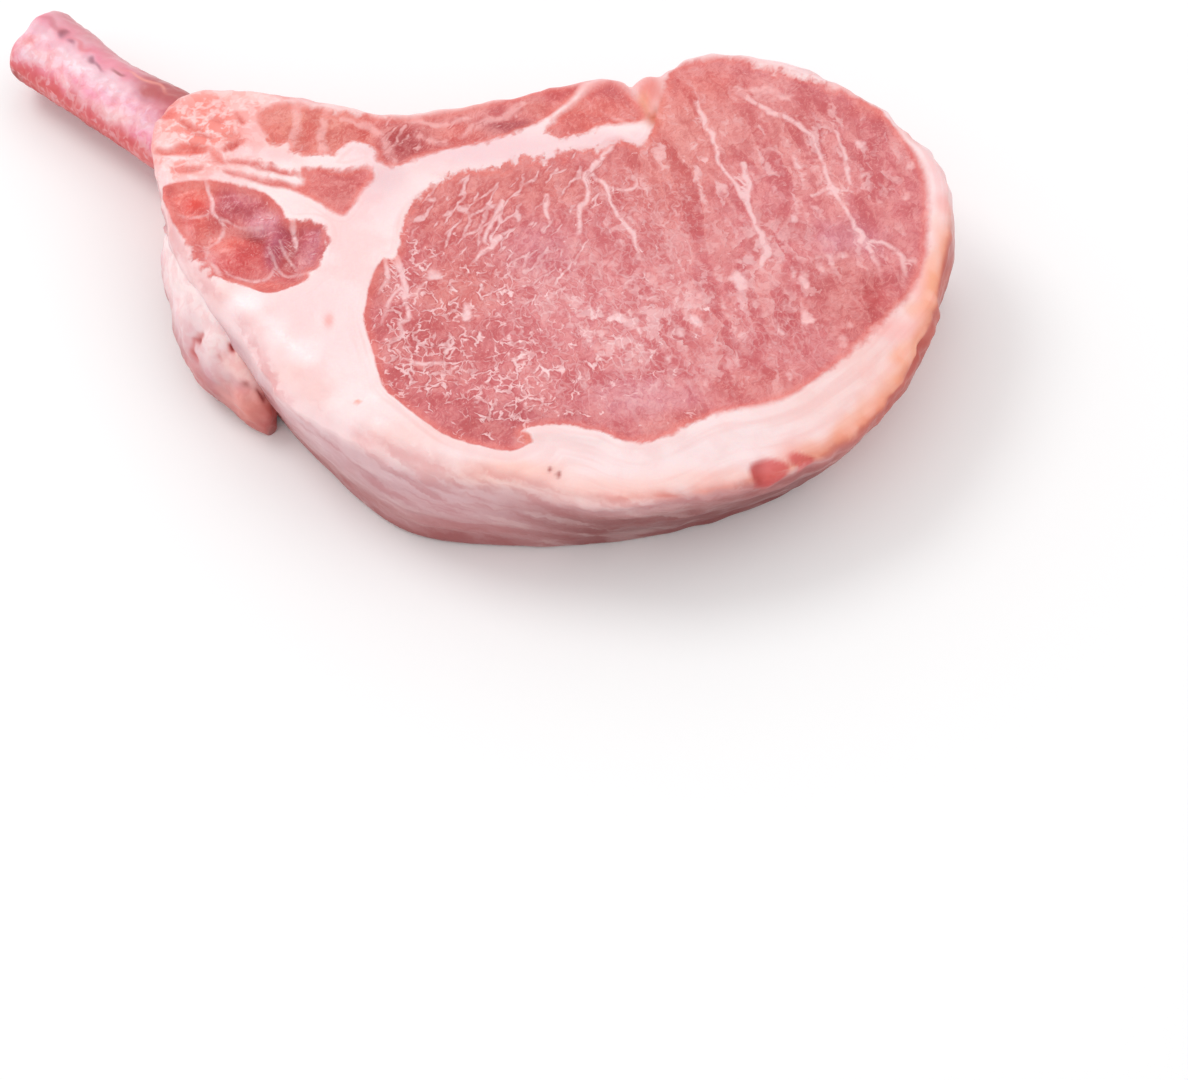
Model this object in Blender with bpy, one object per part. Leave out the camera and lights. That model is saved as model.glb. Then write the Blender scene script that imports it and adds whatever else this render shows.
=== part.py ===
"""Raw frenched pork rib chop, lying on its flat cut face.

Metres, +Z up. The origin is on the table under the middle of the bounding box, +X runs
towards the loin end and the rib bone leaves at -X. Outlines are drawn in plan, in
millimetres. The flesh is one lofted blank. Muscle prisms divide it into the muscles and
the fat between and around them, each a solid of its own.
"""

import bmesh
import bpy
import numpy as np

MM = 0.001

# Driving dimensions, mm
THICKNESS = 24.0  # of the chop where the cut face meets the side
CROWN = 1.0  # rise of the cut face in its middle
RIM_ROUNDING = 0.5  # drop of the rim for each mm that the side is undercut
RIM_INSET = 0.4  # of the rim inside its drawn line
SIDE_BULGE = 1.2  # of the side beyond its rim
FOOT_RADIUS = 1.8  # rounding where the side meets the table
SEAM_GAP = 0.3  # between touching pieces
BONE_WIDTH = 14.9
BONE_HEIGHT = 13.4
BONE_END_ROUNDING = 1.2
BONE_HEEL = 2.5  # taper past the last point of the bone's axis
FLAP_SAG = 0.3  # how much further out the flap hangs below its middle than above it
CUTTER_REACH = 10.0  # how far a prism passes each cut face
OVAL_SIDES = 20
SPAN_STEPS = 3  # smooth points for each drawn point of the rim
MUSCLE_STEPS = 2
SHARP_ANGLE = 0.7

# From the middle of the drawing to the middle of the bounding box
PLAN_SHIFT = (0.52, -2.33)
# The middle of the cut face, from which every point of the rim can be seen
FACE_CENTRE = (15.0, -8.0)

# The rim of the upper cut face: x, y, and how far the foot of the side sits in from it
RIM = [
    (-52.4, 10.5, 3.0),  # under the bone
    (-50.4, 2.0, 2.0),
    (-48.0, -3.5, 2.0),
    (-43.5, -11.0, 2.0),
    (-37.0, -20.5, 2.0),
    (-32.6, -28.0, 3.0),  # where the flap ends
    (-26.0, -35.8, 3.0),
    (-10.0, -45.5, -0.5),
    (8.0, -50.0, 1.0),
    (22.0, -52.5, 4.0),  # fat cap
    (38.0, -51.0, 5.5),
    (53.5, -45.8, 6.5),
    (65.5, -37.0, 7.0),
    (74.0, -24.5, 5.5),
    (78.9, -9.0, 2.2),
    (80.7, 3.0, -0.3),  # loin end
    (79.3, 13.2, -0.3),
    (75.2, 19.0, 0.5),
    (69.2, 26.8, 1.0),
    (58.0, 34.2, 1.0),
    (46.0, 38.0, 1.0),
    (38.0, 37.0, 1.0),
    (32.5, 33.2, 1.0),
    (28.3, 28.6, 1.0),  # notch
    (24.5, 31.2, 1.0),
    (15.5, 31.0, 1.0),
    (3.3, 27.6, 1.0),  # hollow edge along the rib
    (-12.0, 24.8, 1.0),
    (-26.0, 27.1, 1.0),
    (-39.0, 30.4, 1.5),
    (-49.0, 29.6, 2.0),  # collar over the bone
    (-54.4, 21.5, 2.0),
]
# The rounded foot: how far in and how high, as shares of FOOT_RADIUS
FOOT_RINGS = [(1.0, 0.0), (0.3, 0.3), (0.0, 1.3)]
# The side between foot and rim: height as a share of the rim's, then the share of the
# undercut and the share of the bulge there
SIDE_RINGS = [(0.42, 0.55, 0.7), (0.70, 0.25, 1.0), (0.88, 0.05, 0.6)]
# Rings of the cut face, as shares of the way out from its middle
FACE_RINGS = [0.95, 0.7, 0.35]

# The muscles in plan. An outline that passes the rim lets its muscle show at the side.
MUSCLES = {
    "loin_eye": [
        (-3.5, 9.5),
        (-10.5, 1.5),
        (-12.0, -6.5),
        (-16.5, -12.5),
        (-16.5, -20.5),
        (-10.5, -34.5),
        (-0.5, -42.5),
        (6.5, -44.0),
        (12.5, -40.0),
        (18.5, -39.8),
        (26.5, -43.0),
        (37.5, -39.5),
        (52.5, -34.6),
        (62.8, -25.5),
        (68.3, -19.2),
        (73.5, -12.5),
        (76.2, -4.5),
        (76.8, 5.0),
        (76.0, 13.0),
        (74.8, 19.5),
        (73.0, 28.0),
        (62.0, 38.0),
        (44.0, 42.0),
        (34.0, 34.0),
        (31.0, 23.0),
        (29.0, 17.5),
        (22.5, 15.5),
        (10.5, 13.5),
    ],
    "blade_muscle": [
        (-57.0, 8.0),
        (-53.0, -2.0),
        (-46.0, -11.5),
        (-38.5, -12.0),
        (-32.5, -13.5),
        (-26.5, -11.0),
        (-22.5, -4.5),
        (-26.5, 1.0),
        (-33.5, 5.0),
        (-38.5, 7.5),
        (-44.5, 9.5),
    ],
    "rib_muscle": [
        (-37.0, 24.0),
        (-34.0, 16.5),
        (-26.0, 15.5),
        (-18.0, 14.5),
        (-13.0, 13.0),
        (1.5, 17.5),
        (12.0, 23.5),
        (16.0, 29.0),
        (15.0, 35.0),
        (4.0, 32.0),
        (-12.0, 32.0),
        (-34.0, 33.0),
    ],
    "corner_muscle": [
        (13.5, 20.3),
        (18.0, 18.5),
        (25.0, 20.8),
        (28.5, 25.0),
        (27.0, 31.0),
        (20.0, 34.0),
        (16.5, 23.5),
    ],
    "wedge_muscle": [
        (-38.5, 12.3),
        (-36.5, 9.8),
        (-28.0, 6.5),
        (-22.0, 2.0),
        (-18.0, 7.5),
        (-18.5, 11.3),
        (-28.5, 12.5),
    ],
}

# The rib bone's axis, from its sawn tip to the end that the fat holds: x, y, z, then the
# width there as a share of BONE_WIDTH
BONE_AXIS = [
    (-79.4, 52.5, 7.3, 1.0),
    (-73.0, 47.6, 7.5, 0.98),
    (-66.3, 42.3, 8.0, 0.98),
    (-59.2, 36.6, 8.6, 1.01),
    (-52.0, 30.9, 9.2, 1.05),
    (-43.5, 24.4, 9.6, 0.95),
]
# The bone's end sections: how far past the axis's end, and their share of the full width
BONE_ENDS = [(0.0, 0.8), (-BONE_END_ROUNDING, 1.0)], [(0.0, 1.0), (BONE_HEEL, 0.55)]

# The flap of fat along the left side: x, y on the side, how far it stands out, its height
FLAP = [
    (-51.9, 9.5, 0.8, 14.0),
    (-51.2, 4.5, 1.6, 18.0),
    (-49.3, -1.0, 2.8, 20.5),
    (-46.4, -6.2, 4.6, 21.5),
    (-43.4, -11.0, 6.0, 21.0),
    (-40.4, -15.8, 6.4, 19.0),
    (-37.4, -20.2, 5.2, 15.5),
    (-34.8, -23.8, 3.4, 11.0),
    (-33.2, -26.0, 1.2, 6.0),
]

# Base colour and roughness
SKINS = {
    "fat_cover": ((0.89, 0.72, 0.68), 0.38),
    "side_flap": ((0.86, 0.67, 0.66), 0.40),
    "loin_eye": ((0.74, 0.33, 0.33), 0.35),
    "rib_muscle": ((0.77, 0.35, 0.33), 0.35),
    "corner_muscle": ((0.80, 0.38, 0.34), 0.35),
    "wedge_muscle": ((0.80, 0.38, 0.35), 0.35),
    "blade_muscle": ((0.63, 0.18, 0.19), 0.32),
    "rib_bone": ((0.83, 0.52, 0.56), 0.42),
}


def clear_scene():
    for obj in list(bpy.data.objects):
        bpy.data.objects.remove(obj)


def smooth_loop(points, steps):
    """A closed Catmull-Rom curve through the points, with this many steps a span."""
    before, start, end, after = (np.roll(points, k, axis=0) for k in (1, 0, -1, -2))
    spans = []
    for t in np.arange(steps) / steps:
        slope = (end - before) * t
        bend = (2 * before - 5 * start + 4 * end - after) * t**2
        twist = (3 * start - before - 3 * end + after) * t**3
        spans.append(start + 0.5 * (slope + bend + twist))
    return np.stack(spans, axis=1).reshape(-1, start.shape[1])


def outward(plan):
    """The plan normals of a counter-clockwise loop."""
    along = np.roll(plan, -1, axis=0) - np.roll(plan, 1, axis=0)
    across = np.column_stack((along[:, 1], -along[:, 0]))
    return across / np.linalg.norm(across, axis=1, keepdims=True)


def level(plan, height):
    """The plan points raised to a height, which is one number or one for each point."""
    return np.column_stack((plan, np.broadcast_to(height, len(plan))))


def loft(name, rings, start=None, end=None):
    """Skins rings of points, in mm, that all run the same way round. An end closes as a flat
    face, or as a fan to its point."""
    mesh = bmesh.new()
    loops = [[mesh.verts.new(point * MM) for point in ring] for ring in rings]
    for low, high in zip(loops, loops[1:]):
        for i in range(len(low)):
            mesh.faces.new((low[i - 1], low[i], high[i], high[i - 1]))
    for loop, tip in ((loops[0][::-1], start), (loops[-1], end)):
        if tip is None:
            mesh.faces.new(loop)
            continue
        apex = mesh.verts.new(np.array(tip) * MM)
        for i in range(len(loop)):
            mesh.faces.new((loop[i - 1], loop[i], apex))
    bmesh.ops.recalc_face_normals(mesh, faces=mesh.faces)
    data = bpy.data.meshes.new(name)
    mesh.to_mesh(data)
    mesh.free()
    obj = bpy.data.objects.new(name, data)
    bpy.context.scene.collection.objects.link(obj)
    obj.parent = bpy.data.objects["pork_chop"]
    return obj


def flesh(name, grow=0.0):
    """The whole flesh, without its divisions: foot, bulging side, rim and crowned face."""
    line = smooth_loop(np.array(RIM), SPAN_STEPS)
    plan, undercut = line[:, :2], line[:, 2]
    normal = outward(plan)
    rim_height = THICKNESS - RIM_ROUNDING * np.maximum(undercut, 0) + grow

    def side(inset, height):
        return level(plan + normal * (grow - inset)[:, None], height)

    rings = []
    for in_share, up in FOOT_RINGS:
        height = up * FOOT_RADIUS if up else -grow
        rings.append(side(undercut + in_share * FOOT_RADIUS, height))
    for up, in_share, bulge_share in SIDE_RINGS:
        rings.append(side(in_share * undercut - bulge_share * SIDE_BULGE, up * rim_height))
    rings.append(side(np.full(len(plan), RIM_INSET), rim_height))
    centre = np.array(FACE_CENTRE)
    for share in FACE_RINGS:
        height = THICKNESS + grow + CROWN * (1 - share**2)
        rings.append(level(centre + (plan - centre) * share, height))
    top = (*FACE_CENTRE, THICKNESS + grow + CROWN)
    return loft(name, rings, start=(*FACE_CENTRE, -grow), end=top)


def prism(name, outline, grow):
    """An upright cutter through the whole thickness, grown all round."""
    plan = smooth_loop(np.array(outline), MUSCLE_STEPS)
    plan = plan + outward(plan) * grow
    return loft(name, [level(plan, -CUTTER_REACH), level(plan, THICKNESS + CUTTER_REACH)])


def oval():
    """The cosines and sines round an oval section."""
    angle = 2 * np.pi * np.arange(OVAL_SIDES) / OVAL_SIDES
    return np.cos(angle)[:, None], np.sin(angle)[:, None]


def bone(name, grow=0.0):
    """The rib: oval sections square to its axis, with both ends rounded."""
    axis = np.array(BONE_AXIS)
    points, width = axis[:, :3], axis[:, 3]
    along = np.gradient(points, axis=0)
    along /= np.linalg.norm(along, axis=1, keepdims=True)
    tip, heel = BONE_ENDS
    last = len(axis) - 1
    sections = [(0, -past - grow * (share < 1), share) for past, share in tip]
    sections += [(i, 0.0, 1.0) for i in range(1, last)]
    sections += [(last, past + grow * (share < 1), share) for past, share in heel]
    cosine, sine = oval()
    rings = []
    for i, shift, share in sections:
        across = np.cross(along[i], (0, 0, 1))
        across /= np.linalg.norm(across)
        up = np.cross(across, along[i])
        half_width = 0.5 * BONE_WIDTH * width[i] * share + grow
        half_height = 0.5 * BONE_HEIGHT * width[i] * share + grow
        middle = points[i] + along[i] * shift
        rings.append(middle + across * half_width * cosine + up * half_height * sine)
    return loft(name, rings)


def flap(name):
    """The soft flap: drooping oval sections that follow the left side down to the table."""
    path = np.array(FLAP)
    along = np.gradient(path[:, :2], axis=0)
    out = np.column_stack((along[:, 1], -along[:, 0]))
    out /= np.linalg.norm(out, axis=1, keepdims=True)
    cosine, sine = oval()
    rings = []
    for (x, y, stand_out, height), direction in zip(path, out):
        reach = stand_out * cosine * (1 - FLAP_SAG * sine)
        rings.append(level((x, y) + direction * reach, 0.5 * height * (1 + sine[:, 0])))
    return loft(name, rings)


def hide(cutter):
    """Marks a cutter, which isn't part of the chop."""
    cutter.hide_render = True
    cutter.display_type = "WIRE"
    return cutter


def boolean(obj, operation, cutter):
    modifier = obj.modifiers.new(operation.title(), "BOOLEAN")
    modifier.operation = operation
    modifier.solver = "EXACT"
    modifier.object = cutter


def finish(obj):
    """Gives the piece its own material and smooth shading."""
    colour, roughness = SKINS[obj.name]
    material = bpy.data.materials.new(obj.name)
    material.use_nodes = True
    shader = material.node_tree.nodes["Principled BSDF"]
    shader.inputs["Base Color"].default_value = (*colour, 1.0)
    shader.inputs["Roughness"].default_value = roughness
    shader.inputs["Metallic"].default_value = 0.0
    obj.data.materials.append(material)
    obj.data.shade_smooth()
    obj.data.set_sharp_from_angle(angle=SHARP_ANGLE)


def build():
    clear_scene()
    chop = bpy.data.objects.new("pork_chop", None)
    chop.location = (PLAN_SHIFT[0] * MM, PLAN_SHIFT[1] * MM, 0)
    bpy.context.scene.collection.objects.link(chop)

    finish(bone("rib_bone"))
    fat = flesh("fat_cover")
    boolean(fat, "DIFFERENCE", hide(bone("bone_socket", grow=SEAM_GAP)))
    for name, outline in MUSCLES.items():
        boolean(fat, "DIFFERENCE", hide(prism(name + "_bay", outline, 0.5 * SEAM_GAP)))
        muscle = flesh(name)
        boolean(muscle, "INTERSECT", hide(prism(name + "_core", outline, -0.5 * SEAM_GAP)))
        finish(muscle)
    finish(fat)

    side_flap = flap("side_flap")
    boolean(side_flap, "DIFFERENCE", hide(flesh("flesh_clearance", grow=SEAM_GAP)))
    finish(side_flap)


build()
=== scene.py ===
import bpy
import numpy as np
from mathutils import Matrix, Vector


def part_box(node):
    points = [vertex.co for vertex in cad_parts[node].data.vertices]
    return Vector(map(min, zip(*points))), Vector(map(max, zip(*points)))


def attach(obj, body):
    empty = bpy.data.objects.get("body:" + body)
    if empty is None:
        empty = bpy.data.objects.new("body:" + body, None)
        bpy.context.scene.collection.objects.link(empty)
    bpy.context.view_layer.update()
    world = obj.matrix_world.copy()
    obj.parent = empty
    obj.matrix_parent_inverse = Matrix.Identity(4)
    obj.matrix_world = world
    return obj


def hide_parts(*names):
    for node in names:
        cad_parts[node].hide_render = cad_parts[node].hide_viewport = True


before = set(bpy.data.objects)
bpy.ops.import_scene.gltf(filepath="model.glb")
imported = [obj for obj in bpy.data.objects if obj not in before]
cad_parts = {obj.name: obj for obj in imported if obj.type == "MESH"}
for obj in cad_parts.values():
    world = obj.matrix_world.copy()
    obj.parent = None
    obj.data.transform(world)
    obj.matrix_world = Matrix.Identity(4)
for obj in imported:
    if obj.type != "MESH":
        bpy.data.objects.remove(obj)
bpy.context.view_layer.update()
mm = 0.001

# Butcher's colours, as they look in white light
palette = {
    "cream": (252, 226, 226),
    "milk": (252, 212, 213),
    "shell": (242, 200, 205),
    "blush": (249, 203, 197),
    "peach": (252, 190, 172),
    "apricot": (247, 156, 138),
    "veil": (226, 186, 191),
    "graypink": (206, 160, 165),
    "dusk": (176, 106, 104),
    "wine": (132, 70, 70),
    "rose": (230, 132, 135),
    "salmon": (234, 138, 130),
    "coral": (242, 128, 116),
    "pink": (244, 164, 166),
    "lilac": (232, 168, 186),
    "brick": (214, 106, 104),
    "cherry": (218, 84, 84),
    "maroon": (180, 70, 80),
    "garnet": (140, 40, 48),
    "blood": (160, 44, 40),
    "scarlet": (244, 90, 78),
    "mauve": (192, 98, 118),
    "bonePink": (250, 176, 196),
    "violet": (232, 182, 204),
    "ivory": (244, 222, 230),
    "flush": (250, 172, 166),
    "rosyTan": (216, 166, 170),
    "umber": (190, 100, 98),
    "plum": (146, 98, 116),
    "hotPink": (250, 150, 186),
    "bark": (150, 80, 76),
    "amber": (247, 170, 140),
    "rust": (214, 112, 84),
    # a near white for painted highlights on the wet fat
    "glintWhite": (255, 243, 245),
}


def linear(name):
    # A palette colour in linear light
    share = np.array(palette[name]) / 255
    return np.where(share <= 0.04045, share / 12.92, ((share + 0.055) / 1.055) ** 2.4)


def ease(low, high, value):
    # Smooth step from 0 at low to 1 at high
    t = np.clip((value - low) / (high - low), 0, 1)
    return t * t * (3 - 2 * t)


def waves(points, wavelength, seed, count=22):
    # Soft random relief of about -1 to 1: cosines of one wavelength, in mm, in many directions
    rng = np.random.default_rng(seed)
    directions = rng.normal(size=(count, points.shape[-1]))
    directions /= np.linalg.norm(directions, axis=1, keepdims=True)
    directions /= wavelength * rng.uniform(0.7, 1.4, (count, 1))
    phases = rng.uniform(0, 2 * np.pi, count)
    return np.cos(points @ directions.T * 2 * np.pi + phases).sum(axis=-1) / np.sqrt(2 * count)


def throughKnots(knots, steps):
    # Catmull-Rom curve through knots along the first axis, whatever each knot holds
    ring = np.concatenate((2 * knots[:1] - knots[1:2], knots, 2 * knots[-1:] - knots[-2:-1]))
    before, start, end, after = ring[:-3], ring[1:-2], ring[2:-1], ring[3:]
    spans = []
    for t in np.arange(steps) / steps:
        bend = (2 * before - 5 * start + 4 * end - after) * t**2
        twist = (3 * start - before - 3 * end + after) * t**3
        spans.append(start + 0.5 * ((end - before) * t + bend + twist))
    curve = np.stack(spans, axis=1).reshape(-1, *knots.shape[1:])
    return np.concatenate((curve, knots[-1:]))


def smoothLine(points, count, closed=False):
    # The curve through plan points, spread evenly by its length; further columns follow along
    points = np.array(points, float)
    if closed:
        points = np.concatenate((points[-2:], points, points[:3]))
    curve = throughKnots(points, 12)
    if closed:
        curve = curve[24:-24]
    steps = np.hypot(*np.diff(curve[:, :2], axis=0).T)
    length = np.concatenate(([0], np.cumsum(steps)))
    at = np.linspace(0, length[-1], count, endpoint=not closed)
    return np.column_stack([np.interp(at, length, column) for column in curve.T])


def outward(plan):
    # Plan normals of a counter-clockwise loop
    along = np.roll(plan, -1, axis=0) - np.roll(plan, 1, axis=0)
    across = np.column_stack((along[:, 1], -along[:, 0]))
    return across / np.linalg.norm(across, axis=1, keepdims=True)


def nearestOn(plan, line):
    # For each plan point: distance to a line of points, signed offset to its side, and place
    # along it in segments
    near = np.full(len(plan), 1e3)
    side = near.copy()
    place = np.zeros(len(plan))
    for i, (start, end) in enumerate(zip(line[:-1, :2], line[1:, :2])):
        along = end - start
        offset = plan - start
        t = np.clip(offset @ along / (along @ along), 0, 1)
        distance = np.hypot(*(offset - t[:, None] * along).T)
        cross = (along[0] * offset[:, 1] - along[1] * offset[:, 0]) / np.hypot(*along)
        closer = distance < near
        near = np.where(closer, distance, near)
        side = np.where(closer, cross, side)
        place = np.where(closer, i + t, place)
    return near, side, place


def depthInside(plan, outline, count=160):
    # How far each plan point lies inside a closed outline, in mm, negative outside it
    line = smoothLine(outline, count, closed=True)
    line = np.concatenate((line, line[:1]))
    near = nearestOn(plan, line)[0]
    crossed = np.zeros(len(plan), bool)
    x, y = plan.T
    for (ax, ay), (bx, by) in zip(line[:-1, :2], line[1:, :2]):
        if ay != by:
            crossed ^= ((ay > y) != (by > y)) & (x < (bx - ax) * (y - ay) / (by - ay) + ax)
    return np.where(crossed, near, -near)


def spots(plan, places):
    # Soft round patches: x, y, reach along x and y, strength; each point takes the strongest
    fields = [s * np.exp(-(((plan - (x, y)) / (rx, ry)) ** 2).sum(1)) for x, y, rx, ry, s in places]
    return np.max(fields, axis=0)


def flares(plan, places):
    # Patches that fade slowly up the run of the muscle and end abruptly down it: x, y, reach
    # across and along, strength
    way = np.array((0.25, -0.97))
    fields = []
    for x, y, across, along, strength in places:
        offset = plan - (x, y)
        down, aside = offset @ way, offset @ (0.97, 0.25)
        reach = np.where(down > 0, 0.55 * across, 1.9 * along)
        fields.append(strength * np.exp(-((down / reach) ** 2) - (aside / across) ** 2))
    return np.max(fields, axis=0)


def dab(colours, plan, dabs):
    # Lays soft dabs over a colour field: x, y, reach along x and y, colour, strength
    for x, y, reachX, reachY, name, strength in dabs:
        share = strength * np.exp(-((((plan - (x, y)) / (reachX, reachY)) ** 2).sum(1) ** 1.5))
        colours += share[:, None] * (linear(name) - colours)
    return colours


def tinge(colours, name, share):
    # Moves a colour field towards a palette colour by a share of its own at each point
    return colours + share[:, None] * (linear(name) - colours)


def surfaceNormals(grid):
    # Normals of a grid that closes round its columns, from its own slopes
    across = np.roll(grid, -1, axis=1) - np.roll(grid, 1, axis=1)
    along = np.gradient(grid, axis=0)
    normal = np.cross(along, across)
    return normal / np.maximum(np.linalg.norm(normal, axis=2, keepdims=True), 1e-9)


def makePiece(name, grid, firstPole, lastPole):
    # A closed skin: a grid of points in mm that closes round its columns, with a fan to a pole
    # at its first and at its last row
    rows, columns = grid.shape[:2]
    points = np.concatenate((grid.reshape(-1, 3), [firstPole, lastPole])) * mm
    row, column = np.meshgrid(np.arange(rows - 1), np.arange(columns), indexing="ij")
    following = (column + 1) % columns
    quads = np.stack((row, row, row + 1, row + 1), -1) * columns
    quads += np.stack((following, column, column, following), -1)
    here = np.arange(columns)
    onward = (here + 1) % columns
    pole = rows * columns
    first = np.stack((np.full(columns, pole), here, onward), -1)
    lastRow = (rows - 1) * columns
    last = np.stack((np.full(columns, pole + 1), lastRow + onward, lastRow + here), -1)
    corners = np.concatenate((quads.reshape(-1), first.reshape(-1), last.reshape(-1)))
    sides = np.concatenate((np.full((rows - 1) * columns, 4), np.full(2 * columns, 3)))
    mesh = bpy.data.meshes.new(name)
    mesh.vertices.add(len(points))
    mesh.vertices.foreach_set("co", points.astype(np.float32).reshape(-1))
    mesh.loops.add(len(corners))
    mesh.loops.foreach_set("vertex_index", corners.astype(np.int32))
    mesh.polygons.add(len(sides))
    starts = np.concatenate(([0], np.cumsum(sides)[:-1]))
    mesh.polygons.foreach_set("loop_start", starts.astype(np.int32))
    mesh.update(calc_edges=True)
    mesh.validate()
    mesh.shade_smooth()
    piece = bpy.data.objects.new(name, mesh)
    bpy.context.scene.collection.objects.link(piece)
    print(name, len(points), "points")
    return piece


def setField(piece, name, values):
    # Stores a number or a colour for each point; the two poles take their rows' means
    kind, key = ("FLOAT", "value") if values.ndim == 2 else ("FLOAT_COLOR", "color")
    if values.ndim == 3:
        values = np.concatenate((values, np.ones((*values.shape[:2], 1))), axis=2)
    flat = values.reshape(-1, *values.shape[2:])
    poles = np.stack((values[0].mean(axis=0), values[-1].mean(axis=0)))
    field = piece.data.attributes.new(name, kind, "POINT")
    field.data.foreach_set(key, np.concatenate((flat, poles)).astype(np.float32).reshape(-1))


# The flesh: one skin over the muscles and the fat. Outlines are drawn in plan, in mm.
flesh = {
    "thickness": 23.9,
    "crown": 0.75,
    "slump": 0.5,  # drop of the rim for each mm that the side is undercut
    "slumpReach": 13.0,  # how far in from the rim the face starts to drop
    "centre": (15.0, -8.0),
    "columns": 690,
    "faceRows": 92,
    "faceInset": 2.6,
    "wallSteps": 4,
    "footShares": (0.96, 0.85, 0.6, 0.3),
    # The rim: x, y, and how far the foot of the side sits in from it
    "rim": [
        (-52.4, 10.5, 3.0), (-50.4, 2.0, 2.0), (-48.0, -3.5, 2.0), (-43.5, -11.0, 2.0),
        (-37.0, -20.5, 2.0), (-32.6, -28.0, 3.0), (-26.0, -35.8, 3.0), (-10.0, -45.5, -0.5),
        (8.0, -50.0, 1.0), (22.0, -52.5, 4.0), (38.0, -51.0, 5.5), (53.5, -45.8, 6.5),
        (65.5, -37.0, 7.0), (74.0, -24.5, 5.5), (78.9, -9.0, 2.2), (80.7, 3.0, -0.3),
        (79.3, 13.2, -0.3), (75.2, 19.0, 0.5), (69.2, 26.8, 1.0), (58.0, 34.2, 1.0),
        (46.0, 38.0, 1.0), (38.2, 37.3, 1.0), (34.2, 35.0, 1.0), (31.8, 32.9, 1.0),
        (29.8, 32.8, 1.0), (28.4, 31.8, 1.0), (27.2, 30.5, 1.0), (25.8, 31.6, 1.0), (23.4, 32.4, 1.0),
        (15.5, 31.0, 1.0), (3.3, 27.6, 1.0), (-12.0, 24.8, 1.0),
        (-26.0, 27.1, 1.0), (-39.0, 30.4, 1.5), (-49.0, 29.6, 2.0), (-54.4, 21.5, 2.0),
    ],
    # The skin of fat along the far rim: x, then its width
    "rimSkin": [
        (-52, 4.0), (-40, 2.6), (-30, 1.6), (-10, 1.3), (4, 0.7), (12, 0.2), (18, 0.7),
        (27, 0.9), (34, 1.2), (44, 1.4), (52, 2.6), (62, 1.8), (70, 0.9), (76, 2.5), (82, 3.5),
    ],
}

muscles = {
    "eye": [
        (73.5, 20.5), (76.5, 11.0), (76.8, 5.0), (76.0, -5.0), (73.5, -12.5), (68.5, -19.0),
        (63.0, -25.5), (57.5, -30.5), (52.5, -34.5), (47.5, -36.5), (41.0, -38.0),
        (36.5, -40.0), (32.5, -42.3), (29.0, -43.4), (25.5, -43.0), (22.0, -41.5),
        (15.5, -40.2), (12.0, -40.4), (9.0, -41.4), (11.8, -42.6), (9.5, -44.3), (6.0, -44.8),
        (-2.5, -42.2), (-10.5, -35.7), (-13.0, -33.0), (-15.3, -24.5), (-16.6, -20.0),
        (-16.3, -15.5), (-15.3, -10.0), (-13.6, -7.2), (-12.0, -7.6), (-11.2, -4.3),
        (-10.9, 0.5), (-9.5, 4.0), (-7.0, 6.8), (-4.0, 9.3), (-1.0, 11.3), (4.5, 11.4),
        (8.0, 13.5), (12.0, 13.4), (15.0, 14.5), (18.5, 15.5), (22.0, 15.7), (24.0, 18.0),
        (26.3, 17.2), (28.0, 16.2), (30.2, 18.0), (31.4, 22.6), (33.0, 30.0), (36.0, 40.0),
        (50.0, 44.0), (64.0, 38.0), (74.0, 30.0),
    ],
    "blade": [
        (-52.0, 9.0), (-45.0, 9.7), (-39.0, 8.2), (-34.5, 6.8), (-31.3, 3.6), (-29.8, 0.8),
        (-25.8, 0.5), (-23.6, -1.0), (-23.2, -4.0), (-24.4, -9.0), (-26.0, -9.8),
        (-26.3, -11.3), (-29.6, -13.3), (-33.0, -13.8), (-37.5, -11.9), (-42.0, -9.5),
        (-45.0, -5.3), (-48.0, -0.8), (-50.0, 3.0),
    ],
    "strip": [
        (-36.3, 22.6), (-34.5, 25.2), (-31.0, 26.5), (-20.5, 25.5), (-12.0, 25.5),
        (-3.5, 27.0), (5.0, 30.0), (14.0, 33.0), (18.5, 32.0), (17.5, 27.5), (12.7, 22.6),
        (8.5, 20.0), (5.0, 18.3), (0.0, 16.8), (-3.3, 15.7), (-8.3, 14.0), (-12.4, 11.9),
        (-15.3, 12.9), (-16.4, 15.7), (-19.5, 17.4), (-22.0, 15.4), (-23.2, 13.9),
        (-24.6, 14.6), (-25.9, 14.6), (-28.0, 14.3), (-30.3, 15.2), (-31.0, 17.0),
        (-33.2, 16.2), (-34.6, 18.6),
    ],
    "corner": [
        (12.8, 20.3), (14.9, 23.5), (17.8, 26.5), (20.5, 30.0), (24.5, 31.5), (27.5, 28.5),
        (29.5, 24.5), (29.5, 22.0), (27.1, 21.3), (22.9, 20.9), (19.5, 19.4), (16.1, 18.3),
        (14.1, 18.6),
    ],
    "wedge": [
        (-28.0, 11.2), (-25.0, 11.9), (-20.8, 11.4), (-17.0, 12.3), (-16.0, 9.7),
        (-17.4, 7.2), (-19.6, 3.0), (-21.2, 1.5), (-24.7, 4.0), (-29.8, 7.0), (-38.0, 10.0),
        (-34.6, 9.6), (-28.4, 8.2),
    ],
}

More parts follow.
